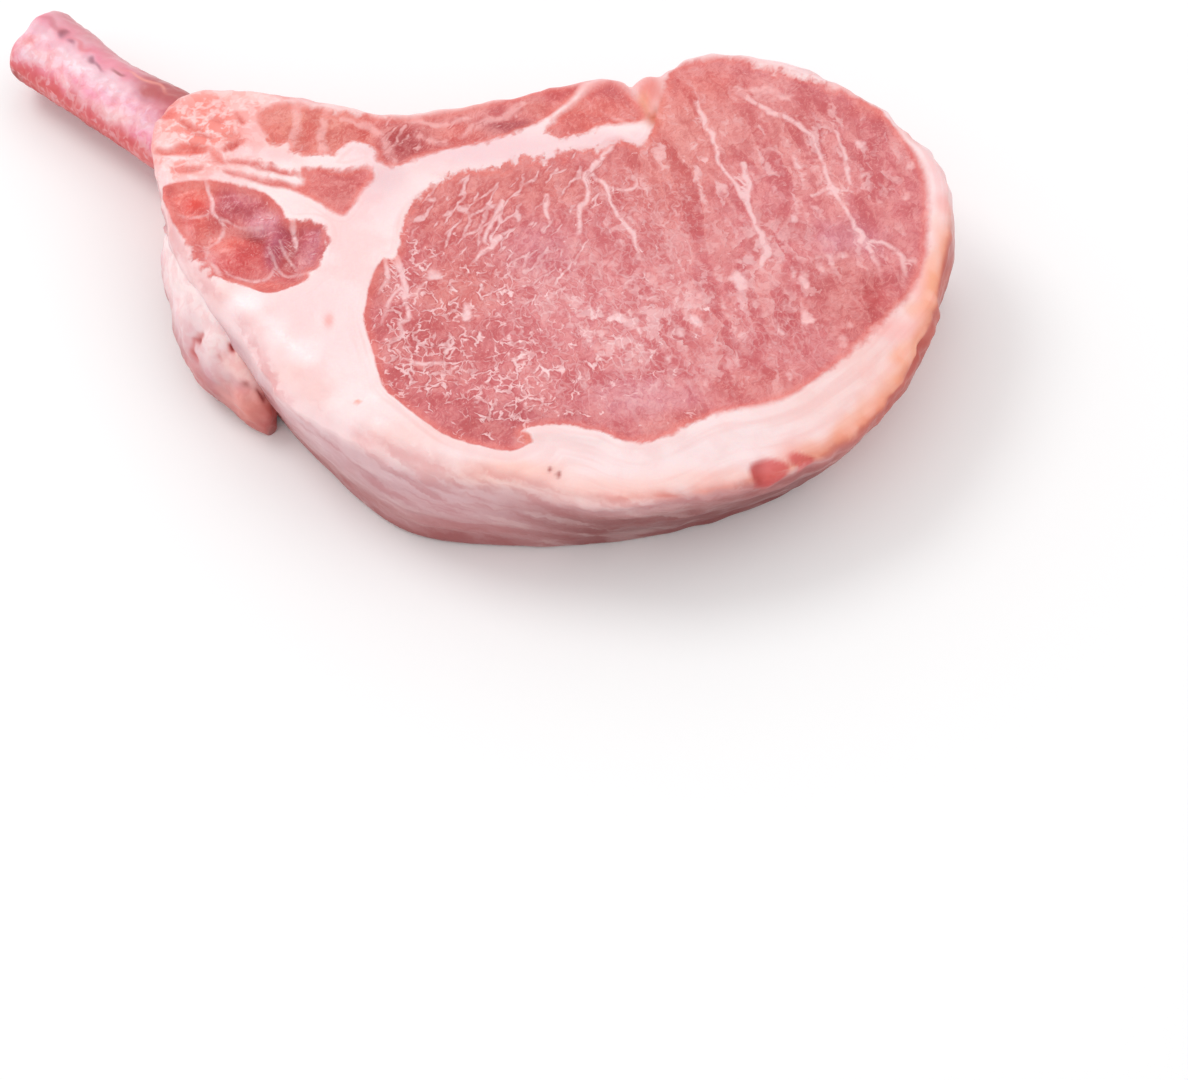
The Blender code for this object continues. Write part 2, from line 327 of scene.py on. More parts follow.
# Veins of fat and the pale seams between bundles: x, y, width
veins = [
    [(24, 17, 1.5), (22.5, 14.5, 1.1), (21, 12, 1.1), (19.5, 10, 1.3), (20, 7.5, 0.9),
     (19.8, 5.5, 0.7), (18.5, 3, 0.9), (18.5, -1, 0.7), (18, -3, 0.2)],
    [(21, 10, 0.8), (23, 7.5, 0.8), (24, 4, 0.5), (25.5, 0.5, 1.0), (27, -1.5, 0.8),
     (28, -5, 0.5), (29, -7.5, 0.2)],
    [(23.5, 7.5, 0.5), (27.2, 7, 0.6), (28, 9, 0.4), (28, 12, 0.2)],
    [(38.5, 25.5, 0.8), (39.5, 22.5, 1.1), (41, 18, 0.8), (42.3, 12, 0.7), (44.5, 8.5, 0.6),
     (45.8, 5.5, 1.2), (47, 2.5, 1.0), (48, -0.5, 0.7), (49, -3.5, 1.3), (49.5, -6, 2.0),
     (48.5, -8.5, 0.5)],
    [(46, 12, 1.0), (46.7, 8.5, 1.4), (46.3, 4.5, 1.1)],
    [(45.5, 29, 1.5), (48, 26.5, 1.1), (51, 24, 1.0), (53.5, 23, 1.0), (57, 20, 0.8),
     (58.5, 17, 0.6), (60, 10, 0.6), (61, 7.5, 1.3), (63.5, 1.5, 0.5), (65, -1.5, 1.3),
     (65.6, -3, 1.7), (67.5, -7.5, 0.5), (68.5, -12.5, 0.2)],
    [(65.5, -3.2, 1.0), (68.5, -3.5, 0.7), (70.5, -4.5, 0.5), (72, -7, 0.7), (72, -12, 0.2)],
    [(72, -6.6, 0.6), (74, -7, 0.5), (74.7, -9, 0.2)],
    [(62, 19.5, 0.5), (63, 16, 0.5), (63.5, 11.5, 0.9), (64, 8, 0.2)],
    [(58, 6.2, 0.6), (60.5, 7.6, 1.0), (62.5, 7.2, 0.5)],
    [(-13.5, -7.5, 0.8), (-13, -11.5, 0.7), (-14.2, -13.8, 0.3)],
    [(-11.5, -7.5, 1.3), (-10.3, -12, 1.1), (-9.8, -16, 0.9), (-9.3, -19, 0.7),
     (-10.6, -20.3, 0.5), (-10.2, -23, 0.5), (-12.2, -23.6, 0.3)],
    [(-11, -13.5, 0.5), (-12.5, -15.5, 0.5), (-13.5, -20, 0.3)],
    [(-9.3, -14.5, 0.6), (-8.2, -14.4, 0.5), (-7.4, -13, 0.4)],
    [(-9, -27.5, 0.5), (-6.5, -28.4, 0.9), (-4, -28, 0.4)],
    [(13, 5.5, 0.5), (13, 2.5, 0.8), (13.5, 0, 0.4)],
    [(5.5, 4, 0.7), (4, 0.5, 0.5), (3, -3.5, 0.8)],
    [(5, -3.5, 1.1), (3, -6, 1.0), (1.5, -7.5, 0.4)],
    [(-44.2, 9.3, 0.9), (-43.4, 6, 0.7), (-42.6, 3, 0.5), (-41, 0.5, 0.5), (-42, -2.4, 0.4),
     (-45, -3, 0.3)],
    [(-41, 2, 0.4), (-38, 0.7, 0.3), (-35, 0.4, 0.4)],
    [(-48, 3.4, 0.3), (-45.5, 3, 0.4), (-43.2, 4, 0.3)],
    [(-43.6, -3.5, 0.3), (-43, -6.5, 0.5), (-41, -9.2, 0.5)],
    [(-33, -4.2, 0.3), (-31.9, -7.2, 0.4), (-33.4, -10, 0.4), (-36.5, -10.6, 0.5),
     (-40, -9, 0.3)],
    [(-32, -7.8, 0.5), (-29.8, -9.2, 0.4), (-26, -10, 0.4)],
    [(-31.2, -3, 0.4), (-30, -5.5, 0.4), (-28, -9, 0.3)],
    [(-29.2, 0, 0.9), (-28.5, -3.5, 0.5), (-28.7, -5, 0.2)],
    [(-29.8, 25.2, 1.4), (-29.4, 21, 1.0), (-30.4, 17, 1.8)],
    [(-24.6, 24.5, 1.0), (-25.2, 19, 1.2), (-24.6, 15, 1.8)],
    [(-21.5, 23.2, 0.8), (-17.5, 21.6, 1.3), (-15.4, 19.8, 0.4)],
    [(-14.4, 18.2, 0.8), (-13.6, 15.6, 1.5), (-12.6, 12.6, 1.2)],
    [(-12.5, 23.8, 0.5), (-6, 22, 1.0), (-1, 23.4, 0.6)],
    [(-8.5, 19, 0.4), (-5, 17.4, 0.8), (-4, 18.6, 0.3)],
    [(-1.5, 19.3, 0.5), (2, 22.4, 1.4), (5.5, 23.8, 1.8), (8.5, 26.5, 0.8)],
    [(22.5, 24.5, 0.3), (25, 22.5, 0.6), (27, 20, 0.6)],
]

# Slips of lean in the collar round the bone: x, y, width
slips = [
    [(-52.5, 17.2, 1.4), (-48.5, 16.3, 2.4), (-45.0, 15.8, 1.8)],
    [(-50.2, 12.4, 0.8), (-47.2, 12.2, 1.7), (-44.9, 12.6, 1.0)],
    [(-43.4, 16.0, 0.8), (-42.6, 13.8, 2.0), (-41.4, 12.6, 0.6)],
    [(-40.6, 12.9, 0.7), (-38, 12.6, 1.3), (-35.6, 12.4, 0.7)],
    [(-35.4, 11.7, 0.8), (-32, 11.1, 1.6), (-29.2, 10.5, 0.8)],
    [(-41.2, 11, 0.5), (-34.8, 8.9, 1.2), (-31, 8.0, 1.5), (-27, 6.8, 1.0)],
    [(-41.0, 16.0, 1.2), (-39.9, 16.8, 2.2), (-38.6, 18, 1.2)],
    [(-52.3, 24.0, 1.2), (-51.2, 24.3, 1.9)],
    [(-46.5, 19.2, 0.5), (-44, 18.8, 1.1)],
    [(-42, 18.6, 0.6), (-40.2, 18.4, 1.1)],
    [(-49, 22.6, 0.7), (-47.4, 20.8, 1.6), (-45.6, 20.4, 0.5)],
    [(-39.6, 24, 0.9), (-38.9, 22, 1.4)],
    [(-44.2, 23, 0.6), (-42.4, 22.2, 1.3)],
]

# Soft patches of milky fat inside the eye: x, y, reach along x and y, strength
milkyPatches = [
    (60.3, -7.8, 1.1, 1.6, 0.9), (62, -7, 0.9, 0.8, 0.8), (58.6, -9.6, 1.0, 1.6, 0.85),
    (56, -12.6, 1.3, 2.0, 1.0), (53.5, -11, 0.9, 1.6, 0.7), (56, -20.2, 1.4, 1.6, 1.0),
    (51.4, -22.6, 0.9, 2.2, 0.9), (61.5, -24, 1.1, 1.2, 0.95), (63, -21, 0.9, 0.8, 0.8),
    (53, -31.5, 0.8, 1.0, 0.8), (73, 5.5, 0.9, 1.2, 0.75), (72, -2, 1.0, 0.8, 0.7),
    (66, 17, 1.3, 1.6, 0.75), (74.5, 12.5, 1.1, 1.8, 0.7), (55.5, 12.0, 0.9, 2.2, 0.75),
    (54.5, 0.6, 0.9, 2.2, 0.75), (66, 10, 1.2, 1.4, 0.6), (-5, -11, 1.6, 1.3, 0.9),
    (0.5, -19.3, 1.1, 1.8, 0.85), (49, 29, 3.5, 1.0, 0.75), (53, 28, 3.0, 1.0, 0.7),
    (38.0, -21.0, 1.1, 2.4, 0.9), (35.4, -23.0, 0.9, 2.0, 0.8), (33, -28.5, 0.7, 1.8, 0.6),
    (22.5, -19, 1.0, 2.0, 0.8), (25.2, -20.5, 1.0, 2.2, 0.85), (28.4, -21.8, 0.9, 2.0, 0.75),
    (44.9, -13.2, 1.3, 3.0, 0.95), (49.6, -6.2, 1.5, 1.6, 0.9), (46.9, 7.2, 1.0, 2.6, 0.8),
    (61, 24, 1.6, 0.9, 0.6), (14, -15, 1.4, 1.6, 0.5), (39, -33, 0.8, 1.2, 0.6), (60.9, 6.6, 1.2, 1.2, 0.85),
    (65.4, -3.6, 1.2, 1.4, 0.9), (8, -9, 1.2, 2.2, 0.5), (42.2, -17.5, 0.8, 2.0, 0.6),
    (47.6, -17.4, 0.9, 2.0, 0.6), (40.4, -4.0, 0.8, 2.4, 0.45), (31.4, -15.8, 0.8, 2.0, 0.55),
    (68.5, 4.2, 0.8, 1.6, 0.5), (51.0, 15.5, 0.8, 2.4, 0.5),
]

leanDabs = [
    (-6, -26, 11, 14, "brick", 0.55), (12, -34, 16, 7, "rose", 0.6),
    (8, -39, 10, 3.5, "maroon", 0.35), (-14.5, -11, 3, 6, "brick", 0.9),
    (-0.9, -13, 7, 7, "salmon", 0.7), (-4, 3, 8, 9, "salmon", 0.7),
    (10, 8, 14, 6, "salmon", 0.8), (16, -6, 10, 8, "pink", 0.35),
    # painted sheen: the lilac dabs in the eye, here and at (63, -3)
    (22, -18, 15, 12, "pink", 0.5), (29, -35, 9, 4, "lilac", 0.45), (12, -6, 5, 5, "lilac", 0.3),
    (34, 16, 11, 16, "salmon", 0.8), (40, 30, 8, 5, "coral", 0.6),
    (31.4, 22.6, 1.6, 1.9, "rust", 0.9), (30.8, 25.5, 1.6, 3.5, "amber", 0.7), (33.5, 22, 3, 5, "coral", 0.5), (37, 22, 3, 4, "salmon", 0.8),
    (56, 2, 15, 15, "rose", 0.5), (50, 22, 12, 8, "salmon", 0.4), (64, -14, 9, 6, "brick", 0.45),
    (63, -17, 7, 6, "brick", 0.6), (69, -15.5, 5, 3, "cherry", 0.45), (65, -21.5, 6, 3, "cherry", 0.45),
    (63, -3, 6, 4, "lilac", 0.5), (62, -8.5, 3, 3, "brick", 0.5), (56, -27, 8, 5, "rose", 0.6),
    (68.3, 25, 4, 2, "coral", 0.5), (48, -33, 9, 4, "salmon", 0.5), (35, -40, 7, 3, "salmon", 0.6),
    (11.5, -42.6, 2.4, 1.4, "apricot", 0.9), (3, -41.5, 6, 3, "brick", 0.6),
    # the muscle beside the bone
    (-37, -3, 15, 11, "brick", 1.0), (-47.3, 6.8, 4.6, 3.4, "coral", 0.9),
    (-45.5, 0.5, 3.6, 3, "coral", 0.8), (-46.2, 5.2, 1.6, 1.4, "scarlet", 0.8),
    (-42.2, 1.2, 1.8, 3.2, "brick", 0.9), (-45.0, 8.4, 2.6, 1.0, "coral", 0.8),
    (-37.6, 5.4, 5.4, 2.8, "mauve", 0.75), (-36, 2.8, 5, 1.6, "maroon", 0.45),
    (-33.8, 1.4, 3.2, 2.2, "lilac", 0.7), (-31, -2.2, 2.2, 2.4, "mauve", 0.9),
    (-35.8, -1.3, 2.4, 1.8, "garnet", 0.6), (-38.4, -6.0, 5.2, 4.0, "cherry", 0.75),
    (-40.6, -3.0, 3.4, 1.9, "coral", 0.7), (-32.2, -5, 1.5, 3.6, "mauve", 0.9),
    (-29, -5, 1.8, 3.6, "blood", 0.6), (-25.4, -4.8, 3.2, 5, "mauve", 0.8),
    (-31.5, -12, 7, 2.2, "brick", 0.75), (-34, -12.4, 4, 1.4, "coral", 0.6), (-43.6, -7.5, 2, 4, "pink", 0.8),
    (-47, -2.5, 1.6, 4, "pink", 0.6),
    # the strip along the rib, and the slips round the bone
    (-12, 19, 28, 8, "salmon", 0.7), (-33, 21, 5.5, 7, "apricot", 0.85), (-33.6, 20.4, 2.2, 3.0, "coral", 0.7),
    (-27, 21, 4.5, 7, "apricot", 0.8), (-27, 19.5, 1.4, 4, "coral", 0.7), (-21.5, 20, 4.4, 7, "apricot", 0.7),
    (-18, 20.5, 3, 3, "coral", 0.8), (-1, 25, 4, 2, "flush", 0.7), (-7, 22.5, 3, 2, "flush", 0.5),
    (-11, 18, 5, 4.5, "brick", 0.9), (-11, 17, 3.2, 2.6, "maroon", 0.45),
    (6, 21.4, 5, 1.8, "maroon", 0.75), (-2.5, 20, 4, 2.4, "coral", 0.6),
    (10.3, 25.5, 4.4, 2.6, "salmon", 0.9), (15.2, 29.5, 3.4, 2, "cherry", 0.7),
    (21, 23.5, 9, 6, "coral", 0.85), (-25, 7, 11, 5, "coral", 0.6), (-21.5, 7, 3.6, 3.4, "brick", 0.7),
    (-46, 18, 11, 8, "coral", 0.95), (-48, 16.4, 2.6, 1.4, "scarlet", 0.35),
    (-39.9, 16.8, 1.6, 1.2, "cherry", 0.8), (-51.6, 24.2, 1.8, 1.4, "scarlet", 0.9),
]

fatDabs = [
    (1.8, 16, 18, 5, "shell", 0.75), (24, 17.5, 7, 2, "shell", 0.6), (-16, 9, 6, 8, "shell", 0.6),
    (-20, -2, 6, 10, "milk", 0.4), (-21, -20, 8, 9, "milk", 0.3), (-30, -22, 6, 7, "blush", 0.35),
    (30.4, 28.4, 2.2, 5, "coral", 0.6), (30.6, 28.8, 2.6, 3.2, "salmon", 0.8), (29.2, 25.5, 1.4, 3, "amber", 0.8), (31.0, 22.7, 1.7, 2.0, "rust", 0.95), (22, 31, 7, 2.4, "flush", 0.7), (4, 29, 12, 2, "flush", 0.4),
    (-12, 25.5, 18, 1.6, "blush", 0.7), (-44, 21, 13, 9, "flush", 0.85), (-42, 29, 12, 3, "blush", 0.7),
    (-37.4, 18.4, 2.2, 3.4, "milk", 0.9), (-33, 14.2, 4.5, 1.3, "milk", 0.85), (-24, 13.2, 7, 1.3, "cream", 0.8),
    (-50.6, 16.4, 1.0, 4, "cream", 0.9), (-46.5, 14.2, 5, 0.9, "milk", 0.9), (-38, 14.8, 6, 1.0, "milk", 0.8),
    (-47, 27.4, 5, 2.2, "coral", 0.6), (-53.5, 25, 3, 2.6, "coral", 0.75), (-54, 14, 2, 2.6, "flush", 0.8),
    (-49, 21.6, 3.2, 1.6, "blush", 0.8), (-42.4, 22.6, 2.4, 1.4, "coral", 0.4), (-43.4, 10.6, 1.6, 6, "milk", 0.85),
    (-51.6, 24.2, 1.5, 1.3, "scarlet", 0.95), (-46, 12, 7, 1.6, "flush", 0.4), (-44, 9.6, 8, 1.0, "milk", 0.8),
    (-50.5, 4, 1.4, 6, "flush", 0.5), (-39.8, -14.2, 2, 3, "blush", 0.5),
    (54.5, -44.5, 4.5, 3, "apricot", 0.7), (60, -36, 12, 5, "blush", 0.5), (68, -28, 9, 6, "blush", 0.75), (75, -17, 5, 9, "blush", 0.8),
    (69, -20.5, 7, 2.4, "flush", 0.6), (75.5, -11, 2.0, 6, "flush", 0.6), (40, -44.5, 12, 2.6, "cream", 0.5), (22, -46.5, 12, 3.2, "cream", 0.5),
    (8, -48.5, 9, 2.2, "peach", 0.6), (24, -50.6, 12, 1.8, "peach", 0.4), (41, -48.8, 10, 1.8, "peach", 0.4),
    # painted highlights: the near-white dabs on the ridge of fat at the left
    (-28, -19, 11, 11, "milk", 0.45), (-36, -15.5, 3.4, 2.0, "glintWhite", 0.7), (-31, -21, 2.4, 3.0, "glintWhite", 0.55), (-26, -25.5, 3, 3, "glintWhite", 0.5),
    (-30, -29, 5, 2.5, "blush", 0.5), (-27, -16, 6, 5, "milk", 0.5), (-14, 9, 4, 3, "veil", 0.4),
    (-8, -42, 10, 3, "blush", 0.5), (-22.2, -19.8, 0.9, 1.8, "coral", 0.5), (-24, -33, 4, 3, "blush", 0.35),
    (-16.8, -35.7, 0.4, 0.4, "apricot", 0.9), (13.9, -48.2, 0.45, 0.45, "blood", 0.8),
    (15.6, -49.1, 0.5, 0.45, "blood", 0.8), (78.4, 12, 2.2, 5, "milk", 0.7), (78.6, -3, 2.2, 4, "milk", 0.7),
    (80, 4, 2, 3, "flush", 0.7), (76, 20, 4, 3, "blush", 0.7), (68, 29.5, 6, 3, "coral", 0.6),
    (52, 37, 10, 2, "milk", 0.5), (62, 33.5, 5, 1.6, "rosyTan", 0.7),
]


def rimLine():
    # The rim spread evenly round, a smoothed copy of it, that copy's plan normals, which don't
    # cross at the notch, and the undercut of the side
    line = smoothLine(flesh["rim"], flesh["columns"], closed=True)
    edge, undercut = line[:, :2], line[:, 2]
    offsets = np.arange(-24, 25)
    weights = np.exp(-((offsets / 9) ** 2))
    smoothed = sum(w * np.roll(edge, k, axis=0) for k, w in zip(offsets, weights / weights.sum()))
    return edge, smoothed, outward(smoothed), undercut


def fleshGrid():
    # Rows run from the middle of the cut face out to the rim, down the side and in under the
    # foot; columns run round the rim. The side is a curve through knots of inset and height.
    edge, smoothed, normal, undercut = rimLine()
    centre = np.array(flesh["centre"])
    ruffle = 0.22 * waves(edge, 6.0, 11) + 0.10 * waves(edge, 2.4, 12) + 0.12
    low = flesh["slump"] * np.maximum(undercut, 0)
    height = flesh["thickness"] - low
    rounded = ease(14, -8, edge[:, 0]) * ease(4, -8, edge[:, 1])
    inset = flesh["faceInset"] + 2.8 * rounded
    inner = smoothed - normal * inset[:, None]
    shares = (np.arange(flesh["faceRows"]) + 1) / flesh["faceRows"]
    plan = centre + (inner - centre) * shares[:, None, None]
    inFrom = np.linalg.norm(inner - centre, axis=1) * (1 - shares[:, None]) + inset
    drop = low * (1 - ease(0, flesh["slumpReach"], inFrom)) * 0.9
    face = flesh["thickness"] + flesh["crown"] * (1 - shares[:, None] ** 2) - drop
    topZ = face[-1]
    knots = np.array([
        [inset, topZ],
        [0.75 + ruffle + 1.4 * rounded, height - 0.1 - 0.35 * rounded],
        [ruffle - 0.15 + 0.35 * rounded, 0.962 * height - 0.8 * rounded],
        [0.05 * undercut - 0.72 + ruffle, 0.88 * height],
        [0.25 * undercut - 1.15 + 0.6 * ruffle, 0.70 * height],
        [0.55 * undercut - 0.84, 0.42 * height],
        [0.85 * undercut - 0.30, 0.21 * height],
        [undercut, np.full_like(low, 2.3)],
        [undercut + 0.5, np.full_like(low, 0.6)],
        [undercut + 1.8, np.zeros_like(low)],
    ])
    wall = throughKnots(knots, flesh["wallSteps"])[1:]
    leaving = np.minimum(np.arange(1, len(wall) + 1) / flesh["wallSteps"], 1)[:, None, None]
    wallPlan = smoothed + (edge - smoothed) * leaving - normal * wall[:, 0, :, None]
    wallGrid = np.concatenate((wallPlan, wall[:, 1, :, None]), axis=2)
    faceGrid = np.concatenate((plan, face[:, :, None]), axis=2)
    foot = centre + (wallPlan[-1] - centre) * np.array(flesh["footShares"])[:, None, None]
    footGrid = np.concatenate((foot, np.zeros((*foot.shape[:2], 1))), axis=2)
    return np.concatenate((faceGrid, wallGrid, footGrid))


def leanDepths(plan):
    # How deep each point lies in each muscle, in mm, with the skin along the far rim left out
    toRim = depthInside(plan, flesh["rim"], 240)
    skinX, skinWidth = np.array(flesh["rimSkin"]).T
    skin = np.interp(plan[:, 0], skinX, skinWidth) * (plan[:, 1] > 6)
    depths = {name: depthInside(plan, outline) for name, outline in muscles.items()}
    for name in depths:
        if name != "blade":
            depths[name] = np.minimum(depths[name], toRim - skin)
    return depths, toRim


def veinFields(plan):
    # Distance to the nearest vein, offset to its side, and half its width there
    near = np.full(len(plan), 9.0)
    side = near.copy()
    half = np.zeros(len(plan))
    for vein in veins:
        line = smoothLine(vein, 7 * len(vein))
        close = (np.abs(plan - line[:, :2].mean(0)) < np.ptp(line[:, :2], axis=0) / 2 + 4).all(1)
        at = np.flatnonzero(close)
        distance, offset, place = nearestOn(plan[at], line)
        closer = distance < near[at]
        at = at[closer]
        near[at] = distance[closer]
        side[at] = offset[closer]
        half[at] = 0.31 * np.interp(place[closer], np.arange(len(line)), line[:, 2])
    return near, side, half


def buildFlesh():
    grid = fleshGrid()
    points = grid.reshape(-1, 3)
    plan, height = points[:, :2], points[:, 2]
    wobble = np.stack((waves(points, 5, 21), waves(points, 5, 22)), -1)
    bent = plan + 0.45 * wobble
    depths, toRim = leanDepths(plan)
    for slip in slips:
        line = smoothLine(slip, 12)
        away, _, spot = nearestOn(bent, line)
        width = np.interp(spot, np.arange(len(line)), line[:, 2])
        depths["strip"] = np.maximum(depths["strip"], width / 2 - away)
    lean = np.max(list(depths.values()), axis=0)
    inEye = ease(0, 1.5, depths["eye"])
    inBlade = ease(0, 2.5, depths["blade"])
    inStrip = ease(0, 1.5, np.maximum.reduce([depths["strip"], depths["corner"], depths["wedge"]]))
    onFace = ease(0.2, 1.8, toRim)
    softRim = spots(plan, [(60, 34, 22, 8, 0.8), (78, 4, 6, 20, 0.7), (70, -20, 14, 12, 0.8), (45, -38, 22, 6, 0.5), (22, 30, 12, 5, 0.8)])
    kink = np.stack((waves(plan, 3.4, 23), waves(plan, 3.4, 24)), -1)
    near, side, half = veinFields(plan + 0.2 * kink)
    print("flesh fields done")

    # relief, in mm along the surface's own normal
    swell = 0.16 * waves(plan, 26, 1) + 0.10 * waves(plan, 9, 2)
    relief = swell * onFace
    relief -= 0.35 * ease(-0.5, 1.0, lean) * onFace
    relief += inEye * (0.07 * waves(plan, 3.2, 3) + 0.05 * waves(plan, 1.9, 4))
    hollow = spots(plan, [(-35.7, -1.2, 3.2, 2.2, 1.0), (-44, -1, 1.2, 5, 0.5), (-31, -6, 1.0, 4, 0.5)])
    lobes = spots(plan, [
        (-47.3, 6.6, 2.6, 2.4, 1.0), (-45.6, 0.6, 2.4, 2.4, 1.0), (-42.2, 1.4, 1.4, 2.6, 0.8),
        (-37.8, 5.2, 4.4, 2.0, 1.0), (-38.3, -5.8, 4.2, 3.4, 1.3), (-32.3, -4.6, 1.4, 3.2, 0.8),
        (-25.6, -4.8, 2.2, 4.0, 1.0), (-31.5, -12, 5.5, 1.3, 0.8), (-34.2, 1.2, 2.4, 1.2, 0.8),
    ])
    lobes = 1.1 * lobes + 0.18 * waves(plan, 4, 6)
    relief += inBlade * (lobes - 1.6 - 0.9 * hollow)
    relief += inStrip * (0.28 * waves(plan, 6, 7) - 0.25)
    relief += 0.12 * np.exp(-((near / 0.7) ** 2)) * ease(0.1, 0.5, half)
    crease, _, _ = nearestOn(plan, np.array([(27.2, 33.0), (28.4, 28.0), (30.8, 23.2)]))
    relief -= 0.8 * np.exp(-((crease / 0.8) ** 2)) * (1 - 0.6 * ease(28, 31, plan[:, 1]))
    lip, _, _ = nearestOn(plan, np.array([(9.5, -42.2), (14.0, -41.6), (21.5, -42.8)]))
    relief += 0.55 * np.exp(-((lip / 1.0) ** 2))
    nub = spots(plan, [(30.6, 29.2, 1.8, 3.0, 1.0)])
    relief += 0.7 * nub * ease(8, 20, height)
    ridge, _, _ = nearestOn(plan, np.array([(-45.5, -6), (-40, -13), (-33, -18.5), (-25, -27), (-13, -35.5)]))
    relief += 0.75 * np.exp(-((ridge / 2.8) ** 2)) * ease(12, 20, height)
    relief -= 0.45 * spots(plan, [(-25, -17, 7, 7, 1.0), (-19, -27, 4, 7, 0.9)]) * ease(12, 20, height)
    relief += 0.22 * waves(plan, 3.6, 15) * spots(plan, [(-45, 19, 9, 9, 1.0), (-34, 12, 10, 4, 0.6)])
    relief += 0.30 * waves(plan, 7.0, 16) * spots(plan, [(72, -22, 8, 18, 1.0), (45, -45, 30, 5, 0.6)])
    row = np.repeat(np.arange(len(grid)), grid.shape[1])
    onWall = ease(flesh["faceRows"] + 0.5, flesh["faceRows"] + 6.5, row)
    slant = np.stack((plan[:, 0] - 0.9 * height, plan[:, 1] - 0.3 * height, 2.2 * height), -1)
    folds = 0.30 * waves(slant * (0.35, 0.35, 1.0), 7, 8) + 0.35 * waves(points, 17, 9) - 0.35
    lumps = 0.12 * waves(points, 4.5, 10)
    notch = spots(plan, [(27.4, 31.5, 4.0, 4.0, 1.0)])
    relief += onWall * ease(0.3, 4, height) * (folds + lumps) * (1 - notch)

    relief *= 1 - 0.9 * spots(plan, [(27.4, 31.2, 1.8, 1.8, 1.0)])
    shaped = grid + surfaceNormals(grid) * relief.reshape(grid.shape[:2])[..., None]
    shaped[..., 2] = np.where(grid[..., 2] > 0, np.maximum(shaped[..., 2], 0.02), 0)

    # colour of lean and of fat, and how they mix
    leanTint = dab(np.tile(linear("rose"), (len(plan), 1)), bent, leanDabs)
    fatTint = dab(np.tile(linear("cream"), (len(plan), 1)), bent, fatDabs)
    front = ease(-6, -22, plan[:, 1]) * ease(-24, 6, plan[:, 0])
    edgeShare = 1 - ease(0.6, 2.6, toRim + 0.8 * wobble[:, 0])
    fatTint = tinge(fatTint, "blush", 0.5 * front * edgeShare)
    fatTint = tinge(fatTint, "shell", 0.35 * (1 - front) * (1 - ease(0.4, 3, toRim)))
    rimHeight = np.tile(grid[flesh["faceRows"] + 3, :, 2], len(grid))
    down = 1 - height / rimHeight
    streak = 0.5 + 0.5 * waves(slant * (0.3, 0.3, 1.0), 6, 13)
    toLeft = ease(24, -6, plan[:, 0])
    late = 0.08 * ease(34, 12, plan[:, 0]) - 0.08 * ease(28, 42, plan[:, 0])
    front = ease(10, -10, plan[:, 1])
    # Painted shade over a darker membrane: the side turns grey-pink, dusky and wine-dark towards its foot, sooner on
    # the right front, where it is undercut, than on the left
    fatTint = tinge(fatTint, "veil", onWall * (0.35 + 0.5 * toLeft) * ease(-0.02, 0.14, down - late))
    right = front * (1 - toLeft)
    fatTint = tinge(fatTint, "graypink", onWall * ease(0.03, 0.16, down - late) * (0.5 + 0.3 * streak) * right)
    fatTint = tinge(fatTint, "dusk", onWall * ease(0.03, 0.30, down - late) * (0.70 + 0.30 * streak) * right)
    fatTint = tinge(fatTint, "wine", onWall * ease(0.08, 0.5, down) * (0.75 + 0.25 * streak) * right)
    left = onWall * toLeft
    fatTint = tinge(fatTint, "graypink", left * ease(0.05, 0.35, down) * (0.50 + 0.5 * streak))
    fatTint = tinge(fatTint, "dusk", left * ease(0.30, 0.9, down) * (0.55 + 0.4 * streak))
    fatTint = tinge(fatTint, "wine", left * ease(0.7, 1.0, down) * 0.6 * ease(-30, 10, plan[:, 0]))
    band = np.exp(-(((row - flesh["faceRows"] - 5.5) / 3.2) ** 2))
    fatTint = tinge(fatTint, "apricot", band * ease(14, 30, plan[:, 0]) * front * (0.48 + 0.3 * wobble[:, 1]))
    fatTint = tinge(fatTint, "amber", np.clip(band * ease(40, 52, plan[:, 0]) * front * (0.8 + 0.3 * wobble[:, 0]), 0, 1))
    outer = (1 - ease(1.4, 4.6, toRim + 0.9 * wobble[:, 0])) * ease(46, 66, plan[:, 0]) * ease(6, -8, plan[:, 1])
    outer *= 1 - ease(flesh["faceRows"] + 5, flesh["faceRows"] + 9, row)
    fatTint = tinge(fatTint, "amber", np.clip(outer * (0.85 + 0.25 * wobble[:, 1]), 0, 1))
    fatTint = tinge(fatTint, "peach", outer * ease(0.1, 0.9, waves(plan, 5, 17)) * 0.7)
